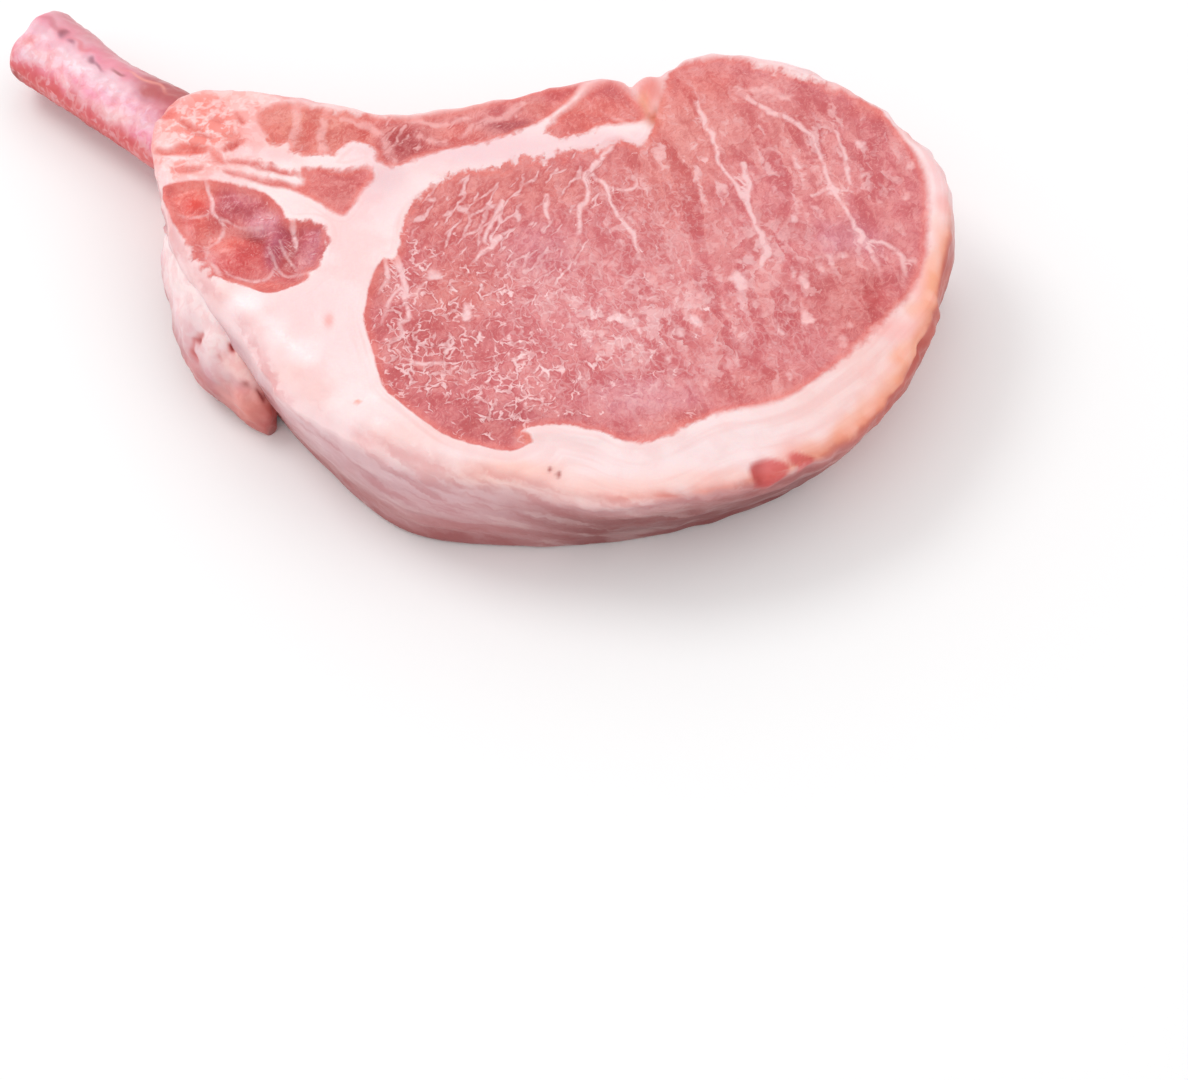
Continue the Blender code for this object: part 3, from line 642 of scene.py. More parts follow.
    # The right front of the side: its brown and rusty membrane, with painted shade that deepens towards the foot
    rightWallTintAndShade = ease(flesh["faceRows"] + 3, flesh["faceRows"] + 9, row) * ease(54, 70, plan[:, 0]) * front
    fatTint = tinge(fatTint, "umber", 0.95 * rightWallTintAndShade)
    fatTint = tinge(fatTint, "rust", 0.35 * rightWallTintAndShade)
    fatTint = tinge(fatTint, "wine", 0.35 * rightWallTintAndShade * ease(0.15, 0.6, down))
    fatTint = tinge(fatTint, "umber", 0.35 * band * ease(26, 40, plan[:, 0]) * front * ease(0, 1, wobble[:, 0]))
    behind = ease(5, 20, plan[:, 1])
    fatTint = tinge(fatTint, "coral", onWall * behind * 0.45 * ease(-0.2, 0.8, waves(points, 12, 14)))
    redPatch = spots(bent, [(49.0, -47.0, 3.6, 2.6, 1.0), (54.0, -44.6, 3.0, 1.5, 0.85)])
    redPatch *= np.exp(-(((height - 19.8) / 2.7) ** 4))
    redPatch = ease(0.30, 0.62, redPatch + 0.10 * wobble[:, 1])
    fatTint = tinge(fatTint, "cherry", 0.9 * redPatch * (0.7 + 0.3 * streak))
    fatTint = tinge(fatTint, "blood", 0.5 * redPatch * ease(49, 46.5, plan[:, 0]))
    marble = spots(plan, [
        (-7, -26, 14, 17, 0.95), (-9, -12, 8, 12, 0.75), (8, -32, 14, 13, 0.95),
        (4, -14, 12, 10, 0.75), (22, -28, 14, 12, 0.65), (30, -14, 14, 14, 0.4), (24, 4, 10, 10, 0.35), (-25.5, -5, 3, 4, 0.35), (-33, 2, 4, 3, 0.25),
        (-43, -8, 2, 4, 0.35), (-12, 18, 20, 6, 0.15), (30, -33, 10, 6, 0.5),
    ])
    worms = spots(plan, [(20, -20, 20, 18, 1.0), (28, 0, 14, 14, 0.7), (50, -22, 12, 10, 0.6), (0, -8, 14, 16, 0.5)])
    streaks = spots(plan, [
        (20, 6, 10, 7, 0.5), (38, 12, 16, 20, 1.0), (58, 14, 20, 20, 1.0), (30, -8, 12, 14, 0.7),
        (24, -34, 14, 7, 0.6), (46, -20, 16, 16, 0.9), (62, -8, 14, 12, 0.8), (63, -20, 9, 8, 0.4),
    ])
    strokes = spots(plan, [(2, 1, 13, 9, 1.0), (-5, 5, 7, 6, 0.8), (10, -8, 9, 8, 0.8), (16, 8, 9, 7, 0.7), (-12, 19, 26, 6, 0.5)])
    # where a painted sheen of milky speckle lies on the lean
    milky = spots(plan, [(48, -6, 8, 8, 0.9), (25, -20, 12, 11, 1.0), (26, -2, 12, 9, 0.6), (30, -32, 10, 6, 0.6), (52, -25, 10, 8, 0.3)])
    flakes = spots(plan, [(36, -20, 12, 16, 0.9), (51, -9, 13, 15, 0.8), (60, -20, 9, 9, 0.35), (56, 14, 14, 12, 0.5), (12, -14, 12, 12, 0.5)])
    ragged = spots(plan, [(14, 14, 16, 7, 1.0), (-6, 6, 9, 8, 1.0), (50, 30, 14, 6, 0.9), (76, 0, 4, 16, 0.15), (30, -40, 16, 4, 0.4), (66, -22, 12, 9, 0.35), (-44, -8, 6, 8, 0.6), (-25, -4, 5, 8, 0.5), (-25, 18, 14, 8, 0.7)])
    collar = spots(plan, [(-46, 20, 9, 10, 1.0), (-49, 14, 5, 5, 0.8), (-38, 26, 10, 4, 0.6)])
    blots = flares(bent, milkyPatches)

    piece = makePiece("flesh", place(shaped), place(middleOf(shaped[0])), place(middleOf(shaped[-1])))
    shape = grid.shape[:2]
    softEdge = 0.5 * ease(-2, 0.5, np.maximum.reduce([depths["strip"], depths["corner"], depths["wedge"]]))
    softEdge = np.maximum(softEdge, softRim)
    fields = {
        "softEdge": softEdge, "leanDepth": lean, "marble": marble, "worms": worms, "streaks": streaks, "strokes": strokes,
        "milky": milky, "flakes": flakes,
        "ragged": ragged, "blots": blots, "veinNear": near, "veinSide": side, "veinHalf": half,
        "wallShare": onWall, "collar": collar, "bladeShare": inBlade,
    }
    for name, values in fields.items():
        setField(piece, name, values.reshape(shape))
    setField(piece, "leanTint", leanTint.reshape(*shape, 3))
    setField(piece, "fatTint", fatTint.reshape(*shape, 3))
    return piece


def middleOf(row):
    return row.mean(axis=0)


def planShift():
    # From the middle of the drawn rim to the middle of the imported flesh
    low = np.min([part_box(name)[0] for name in fleshNodes], axis=0)
    high = np.max([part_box(name)[1] for name in fleshNodes], axis=0)
    drawn = fleshGrid().reshape(-1, 3)
    middle = (drawn.min(axis=0) + drawn.max(axis=0)) / 2
    shift = (low + high) / 2 / mm - middle
    return np.array((shift[0], shift[1], 0.0))


def place(points):
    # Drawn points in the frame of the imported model
    return points + shift


# Colours of the rib: distance from the sawn tip, turn round it (0 near side, half pi on top,
# pi far side), reach along each, colour, strength
boneDabs = [
    (18, 2.85, 45, 0.98, "rosyTan", 0.97), (18, 4.0, 45, 1.0, "rosyTan", 0.9),
    (15, -0.40, 45, 0.95, "cherry", 0.95), (15, -0.7, 45, 0.6, "blood", 0.5), (34, 0.0, 5, 0.35, "flush", 0.6),
    (3, 1.50, 4.5, 0.20, "ivory", 0.75), (12, 1.38, 7, 0.30, "ivory", 0.95), (20, 1.36, 7, 0.28, "ivory", 0.95),
    (27, 1.50, 5, 0.16, "ivory", 0.6), (7.1, 1.76, 1.1, 0.09, "plum", 0.8), (9.6, 1.70, 0.9, 0.07, "plum", 0.6),
    (15.2, 1.58, 1.4, 0.07, "plum", 0.75), (17.4, 1.62, 1.2, 0.06, "plum", 0.6), (21.2, 1.74, 1.5, 0.06, "bark", 0.8),
    (4.5, 1.80, 4, 0.08, "umber", 0.4), (12, 1.80, 2.5, 0.07, "rose", 0.5),
    (29.5, 1.05, 4, 0.26, "violet", 0.6), (22.5, 1.15, 4, 0.18, "violet", 0.35), (28, 1.50, 2, 0.08, "violet", 0.6),
    (33, 2.15, 8, 0.75, "bark", 0.55), (33, 2.15, 8, 0.75, "umber", 0.8), (29, 1.72, 2.4, 0.12, "umber", 0.7), (26.5, 1.92, 5, 0.05, "peach", 0.7),
    (25.5, 0.36, 5, 0.16, "cherry", 0.35), (31, 0.22, 3, 0.14, "cherry", 0.4), (26, 0.72, 6, 0.32, "milk", 0.85), (18, 0.08, 45, 0.42, "cherry", 0.6), (16.5, 0.34, 5, 0.22, "cherry", 0.5),
    (10, 0.36, 4, 0.22, "cherry", 0.55), (5, 0.22, 4, 0.3, "cherry", 0.45), (12, -0.05, 14, 0.16, "brick", 0.5),
    (1.6, -0.12, 2.2, 0.26, "blood", 0.85), (2.6, 1.1, 1.8, 0.16, "coral", 0.5), (1.2, 0.62, 2, 0.2, "cherry", 0.4),
    (32.5, 0.62, 3, 0.24, "hotPink", 0.45), (22, 0.9, 4, 0.2, "hotPink", 0.4), (8, 0.95, 4, 0.2, "milk", 0.6),
    (5, 0.75, 2.4, 0.16, "ivory", 0.6), (14, 0.75, 3, 0.14, "milk", 0.5),
]

# The rib: oval sections carried along its axis
rib = {
    # x, y, z and width from the sawn tip to the end inside the flesh
    "axis": [
        (-79.0, 52.9, 8.4, 16.2), (-73.0, 47.9, 8.2, 15.4), (-66.3, 42.3, 8.2, 15.0),
        (-59.2, 36.6, 8.6, 15.0), (-52.0, 30.9, 9.2, 15.6), (-43.5, 24.4, 9.6, 14.2),
    ],
    "flatness": 0.9,  # height as a share of width
    "rows": 220,
    "columns": 180,
    "endRounding": 2.2,
    "capRows": 16,
}


def sectionsAlong(line, width, height, angle):
    # Oval sections square to a line of points: the middle, the way across and the way up
    along = np.gradient(line, axis=0)
    along /= np.linalg.norm(along, axis=1, keepdims=True)
    across = np.cross(along, (0.0, 0.0, 1.0))
    across /= np.linalg.norm(across, axis=1, keepdims=True)
    up = np.cross(across, along)
    reachOut = np.cos(angle)[None, :, None] * across[:, None] * width[:, None, None] / 2
    reachUp = np.sin(angle)[None, :, None] * up[:, None] * height[:, None, None] / 2
    return line[:, None] + reachOut + reachUp


def buildBone():
    # The shaft is an oval carried along the axis; its sawn end is rounded over and dished
    line = smoothLine([(x, y, z, w) for x, y, z, w in rib["axis"]], rib["rows"])
    length = np.concatenate(([0], np.cumsum(np.linalg.norm(np.diff(line[:, :3], axis=0), axis=1))))
    angle = 2 * np.pi * np.arange(rib["columns"]) / rib["columns"]
    fromTip = length[:, None]
    round_ = rib["endRounding"]
    tuck = np.clip(1 - fromTip / round_, 0, 1)
    heel = np.clip(1 - (length[-1] - fromTip) / 4.0, 0, 1)
    taper = (1 - 0.16 * tuck**2) * (1 - 0.6 * heel**2)
    grid = sectionsAlong(line[:, :3], line[:, 3], line[:, 3] * rib["flatness"], angle)
    middle = line[:, None, :3]
    grid = middle + (grid - middle) * taper[..., None]
    shape = grid.shape[:2]
    points = grid.reshape(-1, 3)
    lumps = 0.30 * waves(points, 16, 31) + 0.16 * waves(points, 6, 32) + 0.06 * waves(points, 2.2, 33)
    # a long ridge on the upper far side and a shallow trough below it
    ridge = np.exp(-(((angle - 1.95) / 0.35) ** 2)) * 0.35 - np.exp(-(((angle - 1.2) / 0.4) ** 2)) * 0.35
    relief = lumps.reshape(shape) + ridge[None, :] - 0.5
    shaped = grid + surfaceNormals(grid) * relief[..., None]
    # the sawn face: rings shrinking to its middle, slightly dished
    shares = np.linspace(1, 0, rib["capRows"] + 1)[1:-1]
    tip = shaped[0]
    tipMiddle = tip.mean(axis=0)
    inward = line[1, :3] - line[0, :3]
    inward /= np.linalg.norm(inward)
    rings = tipMiddle + (tip - tipMiddle) * shares[:, None, None]
    dish = (0.5 * (1 - shares**2) - 0.25 * ease(0.8, 1.0, shares))[:, None]
    dish = dish + 0.12 * waves(rings.reshape(-1, 3), 2.2, 34).reshape(len(shares), -1) * (1 - shares[:, None])
    rings = rings + inward * dish[..., None]
    whole = np.concatenate((rings[::-1], shaped))
    whole[..., 2] = np.maximum(whole[..., 2], 0.3)
    piece = makePiece("boneSkin", place(whole), place(middleOf(whole[0])), place(middleOf(whole[-1])))

    capShare = np.concatenate((np.ones(len(shares)), np.zeros(len(shaped))))[:, None]
    capShare = capShare * np.ones((1, shape[1]))
    radial = np.concatenate((shares[::-1], np.ones(len(shaped))))[:, None] * np.ones((1, shape[1]))
    fromTip = np.concatenate((np.zeros(len(shares)), length))[:, None] * np.ones((1, shape[1]))
    turn = np.ones((len(whole), 1)) * angle[None, :]
    flat = whole.reshape(-1, 3)
    bent = np.stack((fromTip.reshape(-1), np.where(turn > 4.9, turn - 2 * np.pi, turn).reshape(-1)), -1)
    bent = bent + np.stack((0.9 * waves(flat, 5, 41), 0.08 * waves(flat, 4, 42)), -1)
    tint = np.tile(linear("bonePink"), (len(flat), 1))
    tint = tinge(tint, "ivory", 0.6 * ease(-0.2, 0.9, waves(flat, 6, 43)))
    tint = tinge(tint, "hotPink", 0.4 * ease(0.2, 0.9, waves(flat, 4.5, 44)))
    tint = dab(tint, bent, boneDabs)
    near = (ease(1.5, 1.2, bent[:, 1]) * ease(-0.6, 0.3, bent[:, 1])).reshape(whole.shape[:2])
    marrow = (capShare * (1 - ease(0.62, 0.8, radial))).reshape(-1)
    tint = tinge(tint, "blood", 0.7 * marrow)
    rind = (capShare * ease(0.62, 0.8, radial)).reshape(-1)
    tint = tinge(tint, "ivory", 0.6 * rind)
    setField(piece, "boneTint", tint.reshape(*whole.shape[:2], 3))
    setField(piece, "lace", near)
    return piece


# The flap: drooping oval sections that follow the left side down to the table
flapShape = {
    # x, y on the side, how far it stands out, its height
    "path": [
        (-50.6, 10.2, 0.5, 13.0), (-51.1, 4.8, 1.6, 17.5), (-49.3, -1.0, 2.8, 20.5),
        (-46.4, -6.2, 4.6, 21.5), (-43.4, -11.0, 6.0, 21.0), (-40.4, -15.8, 6.4, 19.0),
        (-37.4, -20.2, 5.2, 15.5), (-34.8, -23.8, 3.4, 11.0), (-33.2, -26.0, 1.2, 6.0),
    ],
    "sag": 0.3,  # how much further out it hangs below its middle than above it
    "rows": 230,
    "columns": 150,
    # cuts in the membrane: points along each, then reach and depth
    "cuts": [
        ([(-44.1, -16.7, 15.6), (-45.4, -16.4, 13.6), (-45.8, -16.8, 11.8), (-45.2, -18.2, 10.4)], 0.9, 0.75),
        ([(-38.7, -19.3, 16.6), (-38.9, -19.7, 15.2), (-40.7, -20.0, 13.9)], 0.85, 0.75),
        ([(-39.4, -22.2, 11.0), (-37.4, -22.9, 10.6), (-35.3, -23.8, 10.2), (-33.9, -24.4, 8.7)], 1.1, 0.6),
    ],
    # swellings: x, y, z, reach, height
    "lumps": [(-41.2, -17.9, 16.8, 1.6, 0.5), (-42.6, -18.4, 13.0, 1.7, 0.5), (-36.9, -22.4, 13.6, 2.4, 0.7),
              (-36.4, -24.9, 7.6, 3.0, 0.6)],
}


def buildFlap():
    line = smoothLine(flapShape["path"], flapShape["rows"])
    along = np.gradient(line[:, :2], axis=0)
    out = np.column_stack((along[:, 1], -along[:, 0]))
    out /= np.linalg.norm(out, axis=1, keepdims=True)
    angle = 2 * np.pi * np.arange(flapShape["columns"]) / flapShape["columns"]
    cosine, sine = np.cos(angle), np.sin(angle)
    reach = line[:, 2:3] * cosine * (1 - flapShape["sag"] * sine)
    plan = line[:, None, :2] + out[:, None, :] * reach[..., None]
    height = 0.5 * line[:, 3:4] * (1 + sine)
    grid = np.concatenate((plan, height[..., None]), axis=2)
    shape = grid.shape[:2]
    points = grid.reshape(-1, 3)
    relief = 0.45 * waves(points, 13, 51) + 0.28 * waves(points, 5, 52) + 0.10 * waves(points, 2.4, 53) - 0.5
    relief += sum(
        rise * np.exp(-(np.linalg.norm(points - (x, y, z), axis=1) / size) ** 2)
        for x, y, z, size, rise in flapShape["lumps"]
    )
    cuts = []
    cores = np.zeros(len(points))
    ragged = 0.35 * np.stack([waves(points, 2.6, 60 + k) for k in range(3)], -1)
    for path, size, depth in flapShape["cuts"]:
        line = throughKnots(np.array(path), 8)
        gap = np.linalg.norm((points + ragged)[:, None] - line[None], axis=2).min(axis=1)
        relief -= depth * np.exp(-((gap / size) ** 2))
        cuts.append(np.exp(-((gap / size) ** 4)))
        cores = np.maximum(cores, np.exp(-((gap / (0.6 * size)) ** 4)))
    relief *= ease(0, 2.5, points[:, 2])
    shaped = grid + surfaceNormals(grid) * relief.reshape(shape)[..., None]
    shaped[..., 2] = np.maximum(shaped[..., 2], 0.0)
    piece = makePiece("flapSkin", place(shaped), place(middleOf(shaped[0])), place(middleOf(shaped[-1])))
    down = 1 - points[:, 2] / 22
    streak = 0.5 + 0.5 * waves(points * (1, 1, 0.5), 4, 54)
    tint = np.tile(linear("cream"), (len(points), 1))
    # Towards the table the flap turns grey-pink, tan and dusky: its membrane's own colour and painted shade
    tint = tinge(tint, "veil", 0.8 * ease(0.22, 0.5, down))
    tint = tinge(tint, "rosyTan", 0.8 * ease(0.40, 0.75, down) * (0.6 + 0.4 * streak))
    tint = tinge(tint, "lilac", 0.40 * ease(0.1, 0.8, waves(points, 6, 55)) * ease(0.12, 0.4, down))
    tint = tinge(tint, "dusk", 0.9 * ease(0.40, 0.78, down))
    for x, y, z, size, name, strength in (
        (-36.8, -21.0, 14.2, 4.4, "blush", 0.95), (-35.4, -22.6, 16.4, 1.6, "flush", 0.8),
        (-41, -17.8, 16.8, 2.6, "cream", 0.8), (-48, -9, 17, 5, "cream", 0.7), (-43, -13, 19, 3, "cream", 0.7),
        # painted shade: the veil dab where the flap turns away at its outer edge
        (-46, -14.2, 15.0, 4.0, "veil", 0.6), (-49.5, -6, 14, 5.0, "cream", 0.45),
        (-35, -25, 6.5, 5.0, "apricot", 0.7), (-33.4, -25.6, 4.0, 4.0, "umber", 0.75),
        (-39.5, -23.5, 6.8, 3.4, "flush", 0.5), (-45.5, -17.5, 6, 4.5, "rose", 0.45),
    ):
        gap = np.linalg.norm(points + 2 * ragged - (x, y, z), axis=1)
        tint = tinge(tint, name, strength * np.exp(-((gap / size) ** 3)))
    tint = tinge(tint, "brick", 0.9 * np.maximum(cuts[0], cuts[1]))
    tint = tinge(tint, "blood", 0.8 * cores)
    # painted shade in the crease under the cream lobe, the last of the cuts
    tint = tinge(tint, "dusk", 0.45 * cuts[2])
    setField(piece, "flapTint", tint.reshape(*shape, 3))
    return piece


# Shading helpers: a socket or a number goes into any input
def feed(tree, value, socket):
    if isinstance(value, bpy.types.NodeSocket):
        tree.links.new(value, socket)
    else:
        socket.default_value = value


def addNode(tree, kind, inputs, **settings):
    made = tree.nodes.new("ShaderNode" + kind)
    for name, value in settings.items():
        setattr(made, name, value)
    for key, value in inputs.items():
        feed(tree, value, made.inputs[key])
    return made


def calc(tree, operation, *values):
    return addNode(tree, "Math", dict(enumerate(values)), operation=operation).outputs[0]


def vectorCalc(tree, operation, first, second):
    key = "Scale" if operation == "SCALE" else 1
    return addNode(tree, "VectorMath", {0: first, key: second}, operation=operation).outputs[0]


def noise(tree, vector, scale, detail=2.0, roughness=0.5, colour=False):
    made = addNode(tree, "TexNoise", {"Vector": vector, "Scale": scale, "Detail": detail, "Roughness": roughness})
    return made.outputs["Color" if colour else "Fac"]


def cells(tree, vector, scale, feature="DISTANCE_TO_EDGE"):
    # Distance to the seam between cells, or each cell's own random colour
    inputs = {"Vector": vector, "Scale": scale}
    made = addNode(tree, "TexVoronoi", inputs, voronoi_dimensions="2D", feature=feature)
    return made.outputs["Distance" if feature == "DISTANCE_TO_EDGE" else "Color"]


def ramp(tree, value, low, high, start=0.0, end=1.0):
    inputs = {"Value": value, "From Min": low, "From Max": high, "To Min": start, "To Max": end}
    return addNode(tree, "MapRange", inputs, interpolation_type="SMOOTHSTEP").outputs[0]


def mixColour(tree, share, first, second, blend="MIX"):
    inputs = {0: share, 6: first, 7: second}
    return addNode(tree, "Mix", inputs, data_type="RGBA", blend_type=blend).outputs[2]


def field(tree, name, colour=False):
    made = addNode(tree, "Attribute", {}, attribute_name=name)
    return made.outputs["Color" if colour else "Fac"]


def millimetres(tree):
    # Object coordinates in mm
    where = tree.nodes.new("ShaderNodeTexCoord").outputs["Object"]
    return vectorCalc(tree, "SCALE", where, 1000.0)


def turned(tree, vector, turn, stretch):
    # The vector turned about Z and drawn out along its new Y, for a grain that runs one way
    inputs = {"Vector": vector, "Rotation": (0, 0, turn), "Scale": (1, stretch, 1)}
    return addNode(tree, "Mapping", inputs, vector_type="TEXTURE").outputs[0]


def swirled(tree, vector, scale, reach):
    # The vector pushed about by a slow noise, so that what follows it curls
    away = vectorCalc(tree, "SUBTRACT", noise(tree, vector, scale, 2.0, colour=True), (0.5, 0.5, 0.5))
    return vectorCalc(tree, "ADD", vector, vectorCalc(tree, "SCALE", away, reach))


def times(tree, *values):
    # The product of several masks
    total = values[0]
    for value in values[1:]:
        total = calc(tree, "MULTIPLY", total, value)
    return total


def newGroup(name, inputs, outputs):
    group = bpy.data.node_groups.new(name, "ShaderNodeTree")
    for label, kind, value in inputs:
        socket = group.interface.new_socket(label, in_out="INPUT", socket_type="NodeSocket" + kind)
        if value is not None:
            socket.default_value = value
    for label, kind in outputs:
        group.interface.new_socket(label, in_out="OUTPUT", socket_type="NodeSocket" + kind)
    return group, group.nodes.new("NodeGroupInput").outputs, group.nodes.new("NodeGroupOutput").inputs


def useGroup(tree, group, inputs):
    made = tree.nodes.new("ShaderNodeGroup")
    made.node_tree = group
    for key, value in inputs.items():
        feed(tree, value, made.inputs[key])
    return made.outputs


def curlGroup():
    # Short branching lines of fat: seams between cells, thinned to nothing where a slow noise is
    # low, each with a redder margin that is partly painted shade beside the line
    group, given, result = newGroup(
        "curls",
        [("Vector", "Vector", None), ("Scale", "Float", 0.5), ("Width", "Float", 0.08),
         ("Amount", "Float", 0.5)],
        [("Mask", "Float"), ("Shade", "Float")],
    )
    wide = given["Width"]
    seam = cells(group, given["Vector"], given["Scale"])
    gate = noise(group, given["Vector"], calc(group, "MULTIPLY", given["Scale"], 0.9), 1.0)
    kept = calc(group, "MULTIPLY_ADD", given["Amount"], -0.44, 0.79)
    shown = ramp(group, gate, calc(group, "SUBTRACT", kept, 0.10), calc(group, "ADD", kept, 0.06))
    reach = calc(group, "MULTIPLY", wide, shown)
    core = calc(group, "MULTIPLY_ADD", wide, -0.85, reach)
    feed(group, ramp(group, seam, reach, core), result["Mask"])
    margin = calc(group, "MULTIPLY_ADD", wide, 1.1, reach)
    feed(group, calc(group, "MULTIPLY", ramp(group, seam, margin, reach), shown), result["Shade"])
    return group


def fleckGroup():
    # Soft-edged flecks: the peaks of a noise, more of them as the amount grows
    group, given, result = newGroup(
        "flecks",
        [("Vector", "Vector", None), ("Scale", "Float", 0.5), ("Amount", "Float", 0.5), ("Soft", "Float", 0.05)],
        [("Mask", "Float")],
    )
    fleck = noise(group, given["Vector"], given["Scale"], 2.0, 0.45)
    kept = calc(group, "MULTIPLY_ADD", given["Amount"], -0.24, 0.78)
    feed(group, ramp(group, fleck, kept, calc(group, "ADD", kept, given["Soft"])), result["Mask"])
    return group


def moistGroup():
    # The moist skin that all the surfaces share: fine relief, and a gloss that comes and goes
    group, given, result = newGroup(
        "moistSkin",
        [("Vector", "Vector", None), ("Grain", "Float", 1.6), ("Dry", "Float", 0.5), ("Wet", "Float", 0.3)],
        [("Height", "Float"), ("Roughness", "Float")],
    )
    tree = group
    feed(tree, noise(tree, given["Vector"], calc(tree, "MULTIPLY", given["Grain"], 0.35), 3.0, 0.5), result["Height"])
    pools = ramp(tree, noise(tree, given["Vector"], 0.16, 2.0), 0.40, 0.62)
    mixed = calc(tree, "MULTIPLY_ADD", pools, calc(tree, "SUBTRACT", given["Wet"], given["Dry"]), given["Dry"])
    feed(tree, mixed, result["Roughness"])
    return group


def skinMaterial(name, scatter):
    material = bpy.data.materials.new(name)
    material.use_nodes = True
    tree = material.node_tree
    shader = tree.nodes["Principled BSDF"]
    shader.inputs["Subsurface Weight"].default_value = scatter
    shader.inputs["Subsurface Radius"].default_value = (1.0, 0.35, 0.25)
    shader.inputs["Subsurface Scale"].default_value = 1.2 * mm
    shader.inputs["IOR"].default_value = 1.4
    return material, tree, shader


def addRelief(tree, shader, height, strength, distance):
    bump = addNode(tree, "Bump", {"Height": height, "Strength": strength, "Distance": distance * mm})
    feed(tree, bump.outputs[0], shader.inputs["Normal"])


def fleshMaterial(curls, flecks, moist):
    material, tree, shader = skinMaterial("fleshSurface", 0.12)
    where = millimetres(tree)
    axes = addNode(tree, "SeparateXYZ", {0: where}).outputs
    lean, fat = field(tree, "leanTint", True), field(tree, "fatTint", True)
    marble, strokes, flakes = field(tree, "marble"), field(tree, "strokes"), field(tree, "flakes")
    ragged, milky = field(tree, "ragged"), field(tree, "milky")
    slow, mid = noise(tree, where, 0.17, 2.0, 0.5), noise(tree, where, 0.55, 2.0, 0.5)
    bent = swirled(tree, swirled(tree, where, 0.30, 2.2), 0.9, 1.7)
    aside = vectorCalc(tree, "ADD", bent, (37.0, 11.0, 5.0))
    grained = turned(tree, bent, -0.50, 2.4)
    brush = noise(tree, grained, 0.70, 2.0, 0.5)

    # bundles of fibres, drawn out along the way that the muscle runs
    downhill = turned(tree, swirled(tree, where, 0.30, 1.6), 0.30, 4.2)
    bundle = cells(tree, downhill, 0.28)
    bundleTone = cells(tree, downhill, 0.28, "F1")
    bundleTone = addNode(tree, "SeparateColor", {0: bundleTone}).outputs[0]
    uphillTone = cells(tree, grained, 0.42, "F1")
    uphillTone = addNode(tree, "SeparateColor", {0: uphillTone}).outputs[0]

    # the border of the lean, frayed along the grain where the muscle runs out into the fat
    frays = times(tree, calc(tree, "SUBTRACT", brush, 0.5), ragged, 6.0)
    bumpy = calc(tree, "MULTIPLY_ADD", ragged, 2.6, 0.6)
    uneven = calc(tree, "MULTIPLY_ADD", calc(tree, "SUBTRACT", mid, 0.5), bumpy, frays)
    depth = calc(tree, "ADD", uneven, field(tree, "leanDepth"))
    soft = calc(tree, "MULTIPLY_ADD", calc(tree, "MAXIMUM", field(tree, "softEdge"), times(tree, ragged, 0.5)), 1.2, 0.24)
    inLean = ramp(tree, depth, calc(tree, "MULTIPLY", soft, -0.9), soft)

    # marbling: curls, crumbs, strokes, and threads along the bundles
    curl = useGroup(tree, curls, {"Vector": bent, "Scale": 0.37, "Width": 0.125, "Amount": times(tree, marble, 0.82)})
    crumb = useGroup(tree, curls, {"Vector": aside, "Scale": 0.62, "Width": 0.15, "Amount": times(tree, marble, 0.78)})
    worm = useGroup(tree, curls, {"Vector": turned(tree, aside, 0.42, 1.8), "Scale": 0.75, "Width": 0.17, "Amount": 0.80})
    uphill = turned(tree, swirled(tree, where, 0.35, 2.0), -0.55, 3.4)
    brushed = useGroup(tree, curls, {"Vector": uphill, "Scale": 0.58, "Width": 0.21, "Amount": times(tree, strokes, 0.93)})
    streaked = field(tree, "streaks")
    drawn = noise(tree, turned(tree, swirled(tree, bent, 0.2, 2.0), 0.34, 3.4), 0.50, 2.0, 0.55)
    strand = times(tree, ramp(tree, drawn, 0.53, 0.68), calc(tree, "MAXIMUM", streaked, flakes))
    gap = times(tree, ramp(tree, drawn, 0.47, 0.36), calc(tree, "MAXIMUM", streaked, flakes))
    # painted sheen: milky speckle where the milky field is high
    speckle = times(tree, ramp(tree, mid, 0.46, 0.58), ramp(tree, slow, 0.42, 0.56), milky)

    # flakes: painted highlights, bands that brighten towards the right and end at a crisp edge, with painted shade just
    # past the edge
    contour = noise(tree, bent, 0.15, 1.0, 0.4)
    rising = calc(tree, "MULTIPLY_ADD", axes[0], 0.13, calc(tree, "MULTIPLY", contour, 4.2))
    saw = calc(tree, "FRACT", calc(tree, "MULTIPLY_ADD", axes[1], -0.05, rising))
    edged = times(tree, flakes, ramp(tree, mid, 0.42, 0.56))
    flakeHighlight = times(tree, calc(tree, "POWER", saw, 2.6), edged)
    behind = times(tree, ramp(tree, saw, 0.25, 0.0), edged)

    # drawn veins, their edges a little ragged, and soft milky patches
    half = field(tree, "veinHalf")
    jitter = calc(tree, "MULTIPLY", calc(tree, "SUBTRACT", mid, 0.5), 0.9)
    beyond = calc(tree, "SUBTRACT", calc(tree, "ABSOLUTE", calc(tree, "ADD", field(tree, "veinSide"), jitter)), half)
    gone = calc(tree, "SUBTRACT", field(tree, "veinNear"), half)
    blur = calc(tree, "MULTIPLY_ADD", field(tree, "softEdge"), 0.8, 0.44)
    vein = times(tree, ramp(tree, beyond, blur, -0.16), ramp(tree, gone, 0.9, 0.5), ramp(tree, half, 0.02, 0.2))
    vein = times(tree, vein, ramp(tree, brush, 0.36, 0.50, 0.5, 1.0), ramp(tree, field(tree, "softEdge"), 0.2, 0.5, 1.0, 0.7))
    blot = calc(tree, "MULTIPLY_ADD", calc(tree, "SUBTRACT", mid, 0.5), 1.2, field(tree, "blots"))
    blot = ramp(tree, blot, 0.25, 0.95)

